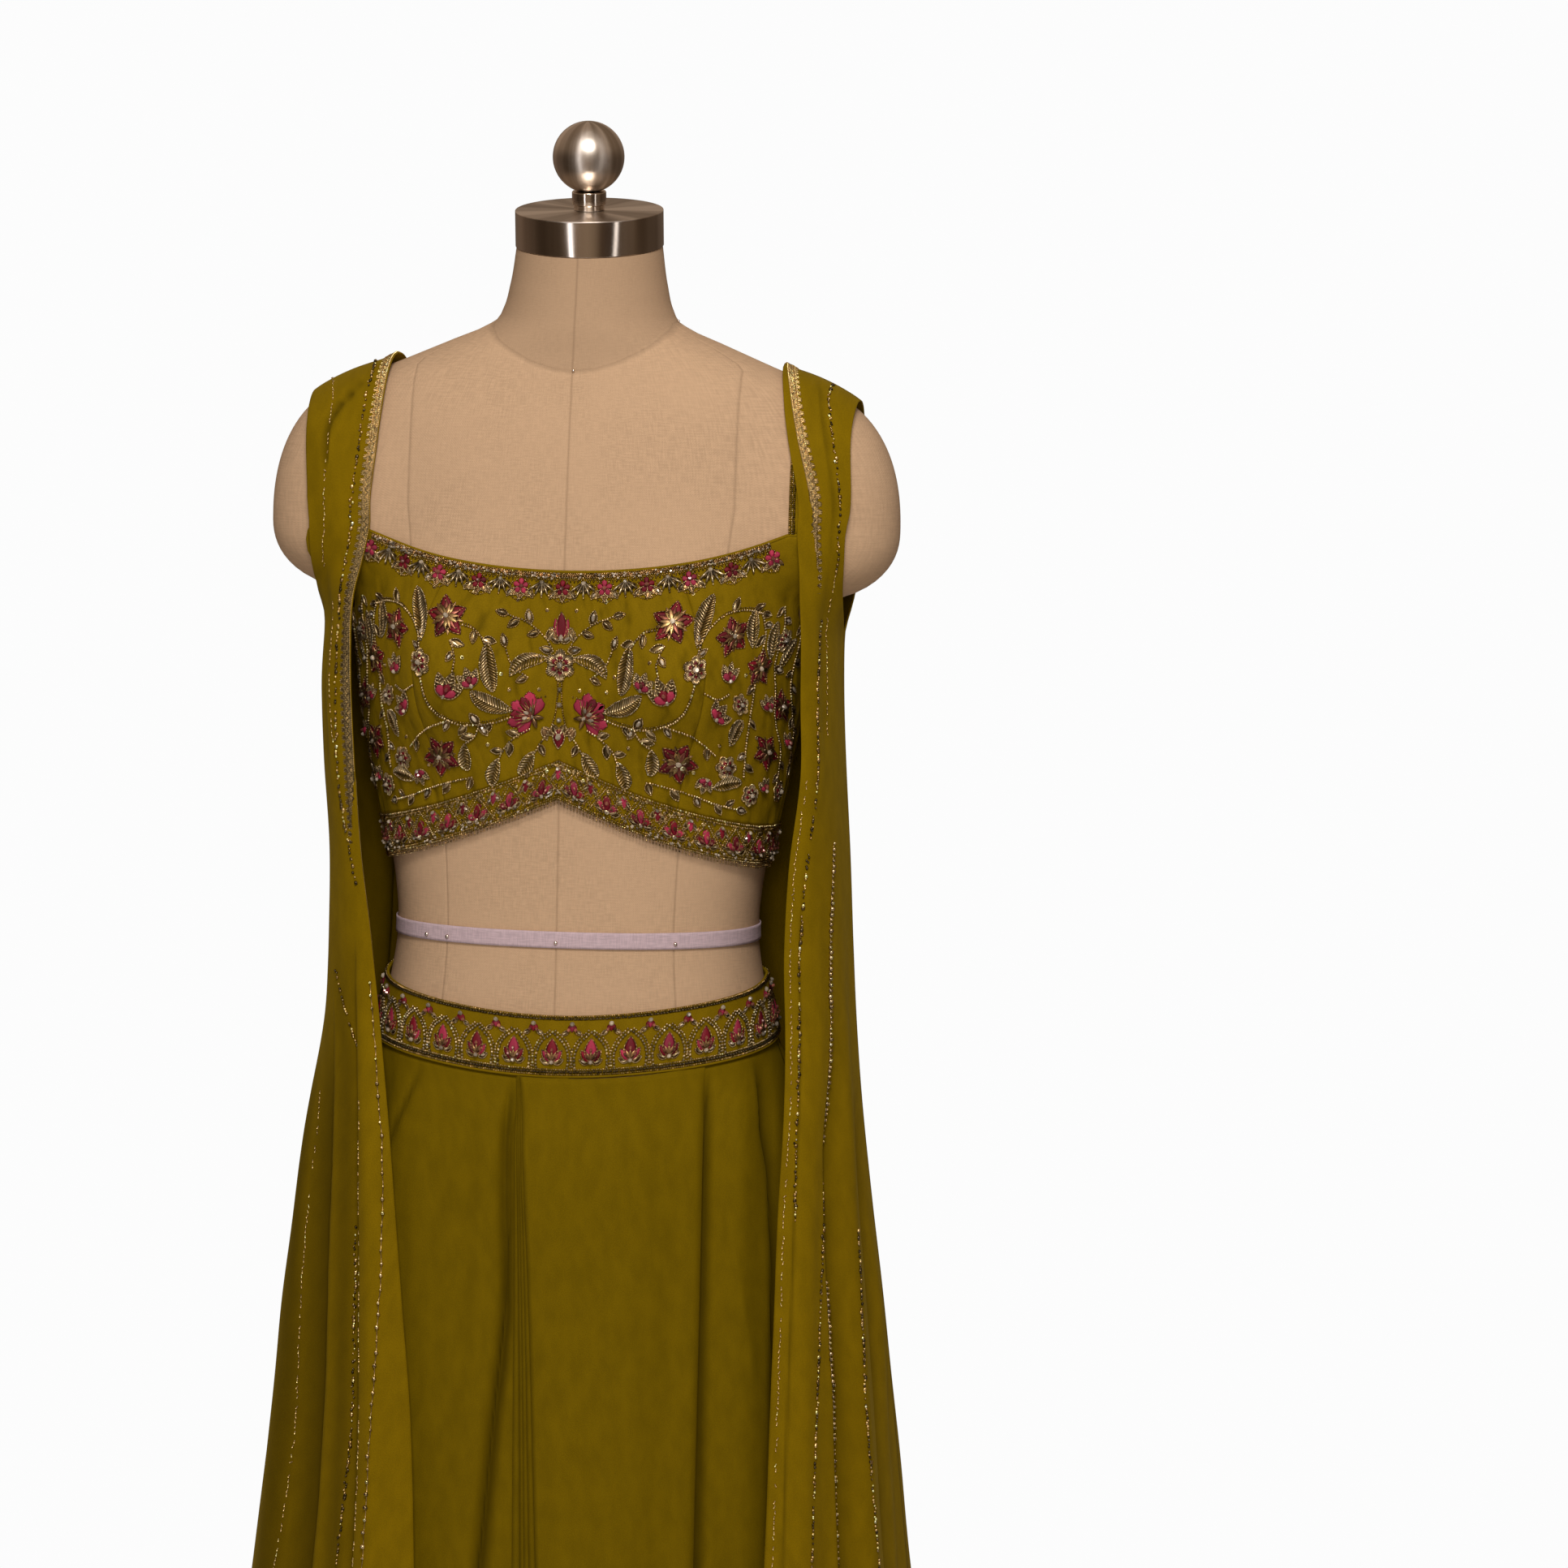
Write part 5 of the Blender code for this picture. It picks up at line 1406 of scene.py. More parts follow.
def make_neck_border():
    """Border under the neckline: sequins, bead lines, rosettes by turns red and pink, and fans."""
    turns = np.linspace(-67.5, 67.5, 271)
    heights = top_upper(turns)
    fine = np.linspace(-90.0, 90.0, 261)
    across = []
    for turn, height in zip(turns, heights):
        length = lengths(round_form(fine, height, TOP_OUT))
        across.append(np.interp(turn, fine, length) - np.interp(0.0, fine, length))
    path = np.stack([np.array(across), heights], -1) / MM
    reach = lengths(path)
    reach -= reach[-1] / 2
    angle = bearing(np.gradient(path, axis=0))

    def along_neck(s, d, turn):
        x, y, a = (np.interp(s, reach, k) for k in (*path.T, angle))
        r = np.radians(a)
        return x - np.sin(r) * d, y + np.cos(r) * d, turn + a

    work = Beadwork(top_face(1.3125, 1.08), 22, along_neck)
    end = reach[-1] - 2
    work.lines(-end, end, ((-0.9, 1.45, 1.5), (-2.3, 1.9, 2.3, "bronze", "sequin"), (-3.6, 1.45, 1.5, "pale_gold"),
            (-5.0, 1.5, 1.3), (-6.2, 2.6, 1.3, "old_gold")))
    work.dot("stone", work.random.uniform((-end, -4.6), (end, -1.0), (150, 2)).T, 1.6, 1.5, 0.9)
    count = int(end / NECK_PITCH)
    ways = 90 + np.arange(5) * 72.0
    for k in range(-count, count + 1):
        s = k * NECK_PITCH
        work.rimmed("gold_leaf", s, -11.5, (222, 270, 318), 8.0, 4.2, 4.4, 1.0, 0.0, "bronze", 1.0, "pale_gold")
        work.add("silk_round", s, -10.5, ways, 5.4, 4.0, 1.7, 0.5, RED_OR_PINK[k % 2])
        work.dot("stone", (s, -10.5), 2.9, 2.0, 1.9, "rose")
        work.dot("bead", work.at(s, -10.5, ways + 36, 4.9), 1.5, 1.4, 0.5, "pale_gold")
        for side in (-1, 1):
            arc = ((s + side * 5.5, -8.0), (s + side * 8.0, -13.5), (s + side * 5.0, -18.0), (s, -20.0))
            work.beads(arc, 1.5, 1.35)
            work.small_leaf(s + side * 5.0, -12.5, 6.5, 270 + side * 34)
    fan = 270 + np.linspace(-54, 54, 5)
    for k in range(-count - 1, count + 1):
        s = (k + 0.5) * NECK_PITCH
        if abs(s) < end - 3:
            for under, tint in ((1.0, "old_gold"), (0.0, "silver")):
                work.rays(s, -6.4, fan + under * 12, 2.0, 9.4 - under * 2, 1.5, tint, 0.9 - 0.8 * under)
            work.dot("bead", work.at(s, -6.4, fan, 10.4), 1.6, 1.5, 0.0, "pale_gold")
            work.dot("stone", (s, -7.2), 3.2, 2.0, 1.0)
    work.make("neck_work")


def band_motifs(work, first, last, rich):
    """Hem band: bead rows at both edges, a lattice of bead lines, trefoils and buds by turns.

    Where it is rich there are also short bead fringes, loose sequins and small stones.
    """
    work.lines(first, last, ((25.4, 2.0, 1.9, "pale_gold"), (23.4, 1.7, 1.5), (0.8, 1.5, 1.5, "pale_gold"),
            (2.4, 1.5, 1.4), (3.9, 2.2, 1.2, "old_gold")))
    if rich:
        drops = np.arange(first + 1, last, 2.4)
        for k, tint in enumerate(("gold", "gold", "pale_gold")):
            work.dot("bead", (drops, -0.4 - 1.4 * k), 1.3, 1.2, 0.0, tint)
        for kind, low, high, apart, size, lift, tint in (("sequin", 1.0, 24.0, 1.0, 1.9, 0.2, "bronze"),
                ("stone", 1.5, 7.0, 3.5, 1.8, 1.2, "clear"),
                ("sequin", 19.0, 24.0, 2.5, 2.1, 0.6, "pale_gold")):
            loose = work.random.uniform((first, low), (last, high), (int((last - first) / apart), 2))
            work.dot(kind, loose.T, size, 0.9, lift, tint)
    count = int(round((last - first) / BAND_PITCH))
    pitch = (last - first) / count
    for k in range(count):
        u, low, high = first + (k + 0.5) * pitch, RED_OR_PINK[1 - k % 2], RED_OR_PINK[k % 2]
        work.arch(u, ((pitch / 2, 4.6), (pitch * 0.3, 12.0), (0, 22.5)),
                ((0, 0, 1.5, 1.4, "pale_gold"), (1.7, 0.6, 1.6, 1.2)), (2.0, 6.0, 7.5, 76))
        for turn, size, tint in ((36, 9.2, high), (144, 9.2, high), (90, 11.2, low)):
            work.add("silk_round", u, 6.6, turn, size, size * 0.56, 1.7, 0.2 + (turn == 90) * 0.5, tint)
        work.rim(u, 6.6, (38, 142), 8.6, 5.0, 0.8, "gold", 0.5)
        work.rim(u, 6.6, 90, 10.6, 6.0, 0.8, "gold", 0.9)
        work.about("stone", u, 6.6, ((90, 5.6), (38, 4.6), (142, 4.6)), 2.8, 1.9, 1.5, 1.7, "rose")
        work.dot("sequin", (u, 6.4), 3.2, 0.9, 1.6, "silver")
        work.dot("stone", (u, 6.4), 2.0, 1.6, 2.2)
        edge = u + pitch / 2
        work.add("silk_point", edge, 22.0, 270, 9.0, 5.4, 1.6, 0.2, high)
        work.rim(edge, 22.0, 270, 9.2, 5.6, 0.8, "gold", 0.5)
        work.leaf_pair(edge, 19.0, 7.0, 270, 50)
        work.dot("stone", (edge, 20.6), 2.6, 1.7, 1.4)


def make_band_beads():
    """Beadwork of the hem band, front and back."""
    for word, first in HALVES:
        face = top_face(BAND_TALL, -0.004, first, top_hem_at)
        work = Beadwork(face, 23)
        reach = -face.first / MM
        band_motifs(work, -reach + 1, reach - 1, word == "front")
        if word == "front":
            diamond = np.array(((0, 33), (-5, 28), (0, 22), (5, 28), (0, 33)), float)
            work.rods(diamond[:-1], diamond[1:], 1.4, "bright_gold", 0.2)
            work.dot("stone", (0, 27.6), 4.0, 1.8, 0.3)
        work.make(f"hem_work_{word}")


# Belt and skirt


def belt_top(turn):
    """Height of the belt's upper edge, which dips at the front."""
    front = 0.5 + 0.5 * np.cos(np.radians(turn))
    side = BELT_TOP["side"]
    return np.where(front > 0.5, side + (BELT_TOP["front"] - side) * (2 * front - 1),
            side + (BELT_TOP["back"] - side) * (1 - 2 * front))


def make_belt():
    """Waistband in two halves, with beaded pointed arches, a flower in each and buds between."""
    for word, first in HALVES:
        turns = np.linspace(first, first + 180.0, 200)
        heights = belt_top(turns) - np.linspace(0.0, BELT_TALL, 22)[:, None]
        cloth(f"belt_cloth_{word}", round_form(turns, heights, BELT_OUT), BELT_WALL, TOP_CREPE,
              "embroidered_cloth", f"belt_{word}", "stretched", ["form_linen"])
        turns = np.linspace(first, first + 180.0, 261)
        heights = belt_top(turns) + np.arange(0.002, -0.043, -0.001)[:, None]
        face = Face(round_form(turns, heights, BELT_OUT + BELT_WALL / 2 - BEAD_SEAT), 130, 0.002, 0.001)
        work = Beadwork(face, 24)
        reach = -face.first / MM
        work.lines(-reach + 1, reach - 1, ((-0.7, 1.5, 1.5), (-2.3, 2.1, 1.4, "smoke", "rod"),
                (-35.6, 1.5, 1.4, "pale_gold"), (-37.2, 2.2, 1.6, "smoke", "rod"),
                (-38.9, 1.5, 1.5)))
        pitch = 2 * reach / ARCH_COUNT
        for k in range(ARCH_COUNT):
            u, tint, other = -reach + (k + 0.5) * pitch, RED_OR_PINK[1 - k % 2], RED_OR_PINK[k % 2]
            work.arch(u, ((pitch * 0.4, -34.4), (pitch * 0.42, -27.0), (pitch * 0.3, -18.5), (0, -11.0)),
                    ((0, 0, 2.3, 2.1, "silver"), (2.0, 0.9, 2.0, 1.7, "leaf")), (1.5, -32.0, 7.0, 64))
            for turn, size, colour, lift in ((50, 10.5, other, 0.2), (130, 10.5, other, 0.2), (90, 16.0, tint, 0.7)):
                work.rimmed("silk_point", u, -31.0, turn, size, size * 0.52, size * 0.54, 1.7, lift, colour,
                        0.8, "gold", 0.9)
            work.about("stone", u, -31.0, ((90, 8.0), (52, 5.2), (128, 5.2)), 3.0, 2.2, 1.7, 1.8, "rose")
            work.dot("stone", (u, -31.0), 3.0, 2.0, 1.6)
            work.add("gold_leaf", u, -29.5, (60, 120, 90), 6.0, 2.6, 1.2, 1.8, "bronze")
            edge = u + pitch / 2
            work.add("silk_point", edge, -6.0, (238, 302), 5.6, 3.4, 1.5, 0.2, "crimson")
            work.add("silk_point", edge, -6.0, 270, 5.0, 3.4, 1.5, 0.5, other)
            for du, dv, tint in ((0, -5.8, "clear"), (-2.3, -9.6, "rose"), (2.3, -9.6, "rose")):
                work.dot("stone", (edge + du, dv), 3.4 - abs(du) / 3, 2.0, 1.0, tint)
            work.leaf_pair(edge, -10.5, 5.0, 270, 62, 2.4)
        work.make(f"belt_work_{word}")


def belt_edge():
    """Piping that closes the belt's lower edge onto the skirt."""
    turns = np.linspace(-180, 180, 480, endpoint=False)
    path = round_form(turns, belt_top(turns) - BELT_TALL - SEAM, BELT_OUT + 0.0006)
    tube("belt_piping", path, 0.001, TOP_CREPE, "embroidered_cloth")


def skirt_ring(turn, height, out):
    """Point beside the skirt's section at a turn from centre front, moved out square to it."""
    half, front, back = read_at(SKIRT, height)
    sine, cosine = np.sin(turn), np.cos(turn)
    depth = np.where(cosine > 0, front, back)
    power = 2 / SKIRT_SQUARE
    x = half * np.sign(sine) * np.abs(sine) ** power
    y = -depth * np.sign(cosine) * np.abs(cosine) ** power
    nx = np.sign(x) * np.abs(x / half) ** (SKIRT_SQUARE - 1) / half
    ny = np.sign(y) * np.abs(y / depth) ** (SKIRT_SQUARE - 1) / depth
    size = np.hypot(nx, ny)
    return np.stack([x + nx / size * out, y + ny / size * out, height + 0 * x], -1)


def skirt_height(turn, drop):
    """Height at a share of the way from the belt's lower edge to the hem."""
    beside = skirt_ring(turn, BELT_TOP["front"] - BELT_TALL, 0.0)
    around = np.degrees(np.arctan2(beside[..., 0], -beside[..., 1]))
    top = belt_top(around) - BELT_TALL - 2 * SEAM
    return top + (SKIRT_HEM - top) * drop


def turn_at(x, half):
    """The turn at which the skirt's front section crosses x."""
    return np.sign(x) * np.arcsin(np.clip(np.abs(x) / half, 0.0, 1.0) ** (SKIRT_SQUARE / 2))


def pleat_path(drop):
    """x, layer and painted shade of each column across the folded front, at a share of the skirt's drop.

    The cloth runs right under the stack, turns back at each fold line in turn and climbs one
    layer each time, crosses as the centre panel, then turns under twice at its right edge.
    Each strip of the stack gets painted shadow where the next fold lies on it, and the bends of the folds and the
    panel beside its right edge get painted shade.
    """
    gap = LAYER_TOP + (LAYER_HEM - LAYER_TOP) * smooth_step(drop / 0.1)
    folds = [top + (hem - top) * drop ** bend for top, hem, bend in PLEATS]
    bend = np.radians(np.linspace(-90.0, 90.0, 7))
    xs, layers, dark, layer = [], [], [], 0.0
    for k, fold in enumerate(folds):
        heading = 1.0 if k % 2 == 0 else -1.0
        rise = 1.0 if k < PLEAT_STACK else -1.0
        if k == PLEAT_STACK:
            inner = np.linspace(xs[-1], fold - gap / 2, 52)[1:-1]
            down = climb(inner, *PANEL_FLAT)
            xs.extend(inner)
            layers.extend(PLEAT_STACK + (2.0 - PLEAT_STACK) * down)
            # Painted shade on the panel beside its right edge.
            dark.extend(0.35 * np.exp(-((fold - inner) / 0.0014) ** 2))
            layer = 2.0
        elif k > 0:
            inner = np.linspace(xs[-1], fold - heading * gap / 2, 7)[1:-1]
            painted_strip_shadow = 0 * inner
            # Painted shadow on each strip of the stack, deepest beside the next fold that lies over it.
            if heading > 0 and k < PLEAT_STACK:
                strip = folds[k + 1] - folds[k - 1]
                inner = np.array([*(xs[-1] + strip * STRIP_PLACES), 0.5 * (xs[-1] + fold)])
                painted_strip_shadow = np.array([*STRIP_SHADES, 1.0])
            xs.extend(inner)
            layers.extend(layer + 0 * inner)
            dark.extend(painted_strip_shadow)
        xs.extend(fold - heading * gap / 2 + heading * gap / 2 * np.cos(bend))
        layers.extend(layer + rise * (0.5 + 0.5 * np.sin(bend)))
        # Painted shade on the bend of each fold that turns back.
        dark.extend(0 * bend + (0.5 if heading < 0 and k > 0 else 0.0))
        layer += rise
    return np.array(xs), np.array(layers), np.array(dark), gap


def skirt_wave(turn, drop):
    """Soft folds that grow from the hip to the hem, none at the side seams."""
    front = np.sin(turn * 2 * SKIRT_WAVES["front"]) * smooth_step((np.abs(np.sin(turn)) - 0.6) / 0.3)
    back = np.cos(turn * SKIRT_WAVES["back"])
    wave = np.where(np.cos(turn) > 0, front, back) * np.minimum(1.0, 3.0 * np.abs(np.cos(turn)))
    return SKIRT_WAVES["rise"] * wave * smooth_step((drop - 0.1) / 0.9)


def lopsided(t, left, right):
    """Bell curve with its own width on each side: e to the power of minus the square of t over the width."""
    return np.exp(-(t / np.where(t < 0, left, right)) ** 2)


def skirt_drape(x, drop):
    """Folds of the front about paths down the cloth: how far each point stands out, and the painted shade along
    them.
    """
    total, dark = 0.0 * x, 0.0 * x
    for path, left, right, rise, shade_depth in DRAPES:
        drops, middles = zip(*path)
        middle = np.interp(drop, drops, middles) * MM
        grow = smooth_step((drop - drops[0]) / 0.03)
        if drops[-1] < 1:
            grow = grow * smooth_step((drops[-1] - drop) / 0.03)
        wide = MM * (0.9 + 1.1 * drop)
        total = total + rise * MM * grow * lopsided(x - middle, left * wide, right * wide)
        # Painted shade: a narrower bell about each path, as deep as its shade.
        dark = np.maximum(dark, shade_depth * grow * lopsided(x - middle, 0.7 * left * wide, 0.8 * right * wide))
    fine = 0.0007 * ripple(x, 0 * x - drop, 0.03, 31, stretch=7.0) * smooth_step(drop / 0.06)
    return total + fine, dark


def make_skirt():
    """Skirt front with its folded pleats, and a gathered back."""
    rows, folds = [], []
    trim = SEAM / SKIRT_RADIUS
    for drop in np.linspace(0, 1, 120) ** 1.12:
        xs, layers, shaded, gap = pleat_path(drop)
        folded = turn_at(xs, read_at(SKIRT, skirt_height(turn_at(xs, SKIRT_RADIUS), drop))[0])
        seam = math.pi / 2 - trim
        left = np.interp(np.linspace(0, 1, 130), (0, 0.45, 0.85, 1), (-seam, -0.36, -0.1, folded[0]))[:-1]
        right = np.interp(np.linspace(0, 1, 92), (0, 0.6, 1), (folded[-1], folded[-1] + 0.4, seam))[1:]
        turn = np.concatenate([left, folded, right])
        layer, shaded = (np.concatenate([0 * left, a, 0 * right]) for a in (layers, shaded))
        wave = skirt_wave(turn, drop)
        wave[len(left):-len(right)] = 0.0
        height = skirt_height(turn, drop)
        x = read_at(SKIRT, height)[0] * np.sign(turn) * np.abs(np.sin(turn)) ** (2 / SKIRT_SQUARE)
        drape, under = skirt_drape(x, drop)
        lift = layer * gap + wave + drape - waist_tuck(drop)
        rows.append(kept_clear(skirt_ring(turn, height, lift), (SKIRT_CLEAR + layer * gap)[..., None]))
        # Painted shade for the fold mark: in the drape valleys of the bottom layer, and on the pleat stack.
        folds.append(np.maximum(under * (layer < 0.5), shaded))
    made = cloth("skirt_front_cloth", rows, SKIRT_WALL, SKIRT_CREPE, "cloth", "skirt_front", "folded",
            ["belt_cloth_front"])
    marked(made, "fold", folds)
    turn = np.linspace(math.pi / 2 + trim, 1.5 * math.pi - trim, 176)
    rows = []
    for drop in np.linspace(0, 1, 108) ** 1.1:
        fine = 0.0009 * ripple(turn * SKIRT_RADIUS, 0 * turn - drop, 0.032, 33, stretch=7.0)
        gather = 0.0011 * np.cos(turn * 62) * np.exp(-drop / 0.05)
        lift = skirt_wave(turn, drop) + (fine + gather) * smooth_step(drop / 0.02) - waist_tuck(drop)
        rows.append(kept_clear(skirt_ring(turn, skirt_height(turn, drop), lift), SKIRT_CLEAR))
    cloth("skirt_back_cloth", rows, SKIRT_WALL, SKIRT_CREPE, "cloth", "skirt_back", "gathered",
          ["belt_cloth_back"])


# Jacket


def jacket_guides(side, part):
    """Inner edge, outer edge and roundness of each row of a jacket panel, shoulder to hem.

    The inner edge is the front edge, or behind the neckline and then the centre back seam. The
    outer edge is the armhole and then the side seam. Rows start at the shoulder seam.
    """
    front, right = part == "front", int(side > 0)
    sign = -1.0 if front else 1.0
    inner, outer, roundness = [], [], []
    for angle, *edges, arm, neck in SHOULDER:
        turn = angle if front else 180.0 - angle
        shift = JACKET_RIGHT_SHIFT * right * smooth_step((90.0 - angle) / 96.0)
        arm = arm + ARM_SHIFT[right] * smooth_step((60.0 - angle) / 60.0)
        x = edges[right] + shift if front else min(neck, edges[right])
        pair = over_shoulder(np.array([x, arm]), turn, JACKET_OUT)
        if angle == SHOULDER[0][0]:
            pair[:, 1] += sign * SEAM
        inner.append(pair[0] * (side, 1, 1))
        outer.append(pair[1] * (side, 1, 1))
        roundness.append(0.0 if front else BACK_ROUND * smooth_step((60.0 - angle) / 75.0))
    for height, *x, edge_front, left_side, right_side, arm, back in JACKET:
        inner.append((side * x[right], -edge_front, height) if front else (side * SIDE_SEAM, back, height))
        outer.append((side * (left_side, right_side)[right], sign * max(arm, SIDE_SEAM), height))
        roundness.append(JACKET_ROUND * smooth_step((1.31 - height) / 0.11) if front else BACK_ROUND)
    return np.array(inner), np.array(outer), np.array(roundness)


def spread_rows(side, part, spacing):
    """Guides of a panel again, at even distances down its inner edge."""
    inner, outer, roundness = jacket_guides(side, part)
    index = np.arange(len(inner))
    fine = np.linspace(0, len(inner) - 1, 2000)
    length = lengths(np.stack([through(fine, index, inner[:, k]) for k in range(3)], -1))
    down = np.arange(0, length[-1] + spacing / 2, spacing)
    at = np.interp(down, length, fine)
    inner, outer = (np.stack([through(at, index, a[:, k]) for k in range(3)], -1) for a in (inner, outer))
    return down, inner, outer, through(at, index, roundness)


def waist_tuck(drop):
    """How far the skirt is drawn in under the belt's edge."""
    return SKIRT_TUCK * (1 - smooth_step(drop / 0.05))


def clear_of_skirt(p, margin):
    """Points moved out from the axis, where they need it, to hang outside the skirt."""
    half, front, back = read_at(SKIRT, np.clip(p[..., 2], SKIRT_HEM, 0.99))
    depth = np.where(p[..., 1] < 0, front, back)
    ratio = ((np.abs(p[..., 0]) / half) ** SKIRT_SQUARE
            + (np.abs(p[..., 1]) / depth) ** SKIRT_SQUARE) ** (1 / SKIRT_SQUARE)
    wanted = 1 + margin / np.hypot(p[..., 0], p[..., 1])
    push = np.where(p[..., 2] < 1.0, np.maximum(wanted / ratio, 1.0), 1.0)
    return p * np.stack([push, push, 1 + 0 * push], -1)


def jacket_creases(side, part, across, down):
    """Folds of a panel beyond its even ones: bell curves about paths down the cloth, and ripples, and the painted
    shade along the paths.
    """
    total, dark = 0.0 * across, 0.0 * across
    for path, inner, outer, rise, shade_depth in CREASES[part, side]:
        a, d = np.array(path, float).T * MM
        fade = min(0.05, (d[-1] - d[0]) / 5)
        ends = smooth_step((down - d[0]) / fade) * smooth_step((d[-1] - down) / fade)
        if d[-1] > 1.3:
            ends = smooth_step((down - d[0]) / 0.12)
        bell = lopsided(across - np.interp(down, d, a), inner * MM, outer * MM)
        total = total + rise * MM * ends * bell
        # Painted shade: the bell about each path, as deep as its shade.
        dark = np.maximum(dark, shade_depth * ends * bell)
    return total + 0.0006 * ripple(across, down, 0.035, 51 + side, stretch=5.0), dark


def jacket_panel(side, part, columns, spacing):
    """Points of a jacket panel, columns from its inner edge to its outer one, and the painted shade of its creases.

    Each row is a curve bent towards the corner of its two guides, with folds that grow
    downwards, kept clear of the form and of the skirt.
    """
    down, inner, outer, roundness = (a[:, None] for a in spread_rows(side, part, spacing))
    s = np.linspace(0, 1, columns)[None, :, None] + 0 * down[..., None]
    corner = (inner + outer) / 2
    edge = np.stack([outer[..., 0], inner[..., 1], corner[..., 2]], -1)
    corner = corner + (edge - corner) * roundness[..., None]
    p = (1 - s) ** 2 * inner + 2 * s * (1 - s) * corner + s * s * outer
    folds = JACKET_FRONT_FOLDS if part == "front" else JACKET_BACK_FOLDS
    grow = climb(p[..., 2], FOLDS_FROM, FOLDS_TO)
    lift = folds["rise"] * grow * np.sin(math.pi * folds["count"] * s[..., 0])
    across, _ = distances(p)
    away = unit(p * (1.0, 1.0, 0.0))
    fade = np.minimum(1.0, 12 * (1 - s[..., 0]))
    creases, dark = jacket_creases(side, part, across, down)
    p = p + away * (lift + creases * fade)[..., None]
    return kept_clear(clear_of_skirt(p, JACKET_CLEAR), JACKET_OUT), dark


CREASES = {
    # path of (distance from the inner edge, distance down it), width towards that edge and away
    # from it, rise, all in mm, and painted shade
    ("front", -1): (
        (((12, 35), (22, 44), (32, 56), (36, 75), (34, 115)), 3.5, 2.5, -3.5, 0.8),
        (((50, 20), (34, 75), (16, 130)), 8, 8, 3.0, 0.0),
        (((58, 60), (42, 110), (24, 170)), 6, 8, -2.5, 0.2),
        (((34, 130), (30, 220), (30, 330)), 5, 7, -2.0, 0.15),
        (((9, 404), (17, 456), (23, 537), (29, 617), (36, 714), (52, 1000), (76, 1390)), 2.0, 9, -7.0, 0.75),
        (((2, 404), (8, 456), (12, 537), (15, 617), (20, 714), (34, 1000), (54, 1390)), 9, 8, 3.5, 0.0),
        (((30, 404), (36, 500), (44, 617), (52, 714), (80, 1000), (112, 1390)), 14, 12, -3.0, 0.6),
        (((45, 449), (57, 590), (70, 716), (104, 1000), (150, 1390)), 2.0, 24, -7.0, 0.95),
        (((80, 449), (88, 590), (98, 716), (140, 1000), (200, 1390)), 14, 20, 4.0, 0.75),
    ),
    ("front", 1): (
        (((25, 8), (28, 30), (27, 60), (25, 110), (24, 165)), 2.5, 1.5, -1.8, 0.4),
        (((30, 130), (24, 200), (22, 300)), 6, 8, -2.0, 0.15),
        (((9.5, 330), (9.5, 1390)), 0.9, 0.9, -0.7, 0.55),
        (((22, 360), (24, 480), (24, 748), (40, 1390)), 9, 9, 2.0, 0.0),
        (((40, 433), (39, 490), (35, 553), (42, 631), (52, 716), (76, 1000), (104, 1390)), 1.8, 9, -6.5, 0.7),
        (((58, 433), (62, 560), (72, 716), (98, 1000), (134, 1390)), 9, 10, 4.5, 0.15),
        (((84, 500), (94, 640), (102, 748), (136, 1016), (180, 1390)), 3.0, 11, -6.0, 0.65),
        (((116, 560), (130, 748), (166, 1016), (212, 1390)), 10, 10, 4.0, 0.0),
    ),
    ("back", -1): ((((40, 120), (46, 700), (56, 1390)), 2.5, 9, -6.0, 0.6),
                   (((96, 200), (112, 700), (140, 1390)), 3.0, 10, -6.0, 0.6),
                   (((150, 400), (176, 700), (215, 1390)), 3.0, 12, -6.0, 0.6)),
    ("back", 1): ((((46, 120), (52, 700), (66, 1390)), 2.5, 9, -6.0, 0.6),
                  (((104, 200), (120, 700), (152, 1390)), 3.0, 10, -6.0, 0.6),
                  (((158, 400), (182, 700), (222, 1390)), 3.0, 12, -6.0, 0.6)),
}


def make_jacket():
    """Open sleeveless jacket: fronts and backs, lace on the front edges and neck, sequin lines."""
    for side, word in ((-1, "left"), (1, "right")):
        for part, outward, lace, inset in (("front", side, "lace", LACE_INSET[side]),
                ("back", -side, "neck_lace", BACK_INSET)):
            points, dark = jacket_panel(side, part, 84, JACKET_ROW)
            panel = cloth(f"jacket_{part}_cloth_{word}", points, JACKET_WALL, CREPE, "cloth",
                    f"jacket_{part}_{word}", outward=outward)
            # Painted shade along the creases, read through the fold mark.
            marked(panel, "fold", dark)
            proud = points + outward_of(points, outward) * (JACKET_WALL / 2 - BEAD_SEAT)
            face = Face(proud, 0, 0.0, JACKET_ROW, outward)
            in_front = part == "front"
            length = ((len(points) if in_front else 22) - 1) * JACKET_ROW
            trims = lace_strip(f"{lace}_{word}", face, inset, length,
                    f"{'jacket' if in_front else 'neck'}_trim_{word}", outward, side)
            if in_front:
                trims += sequin_lines(face, side, word)
            cut_from(panel, points)


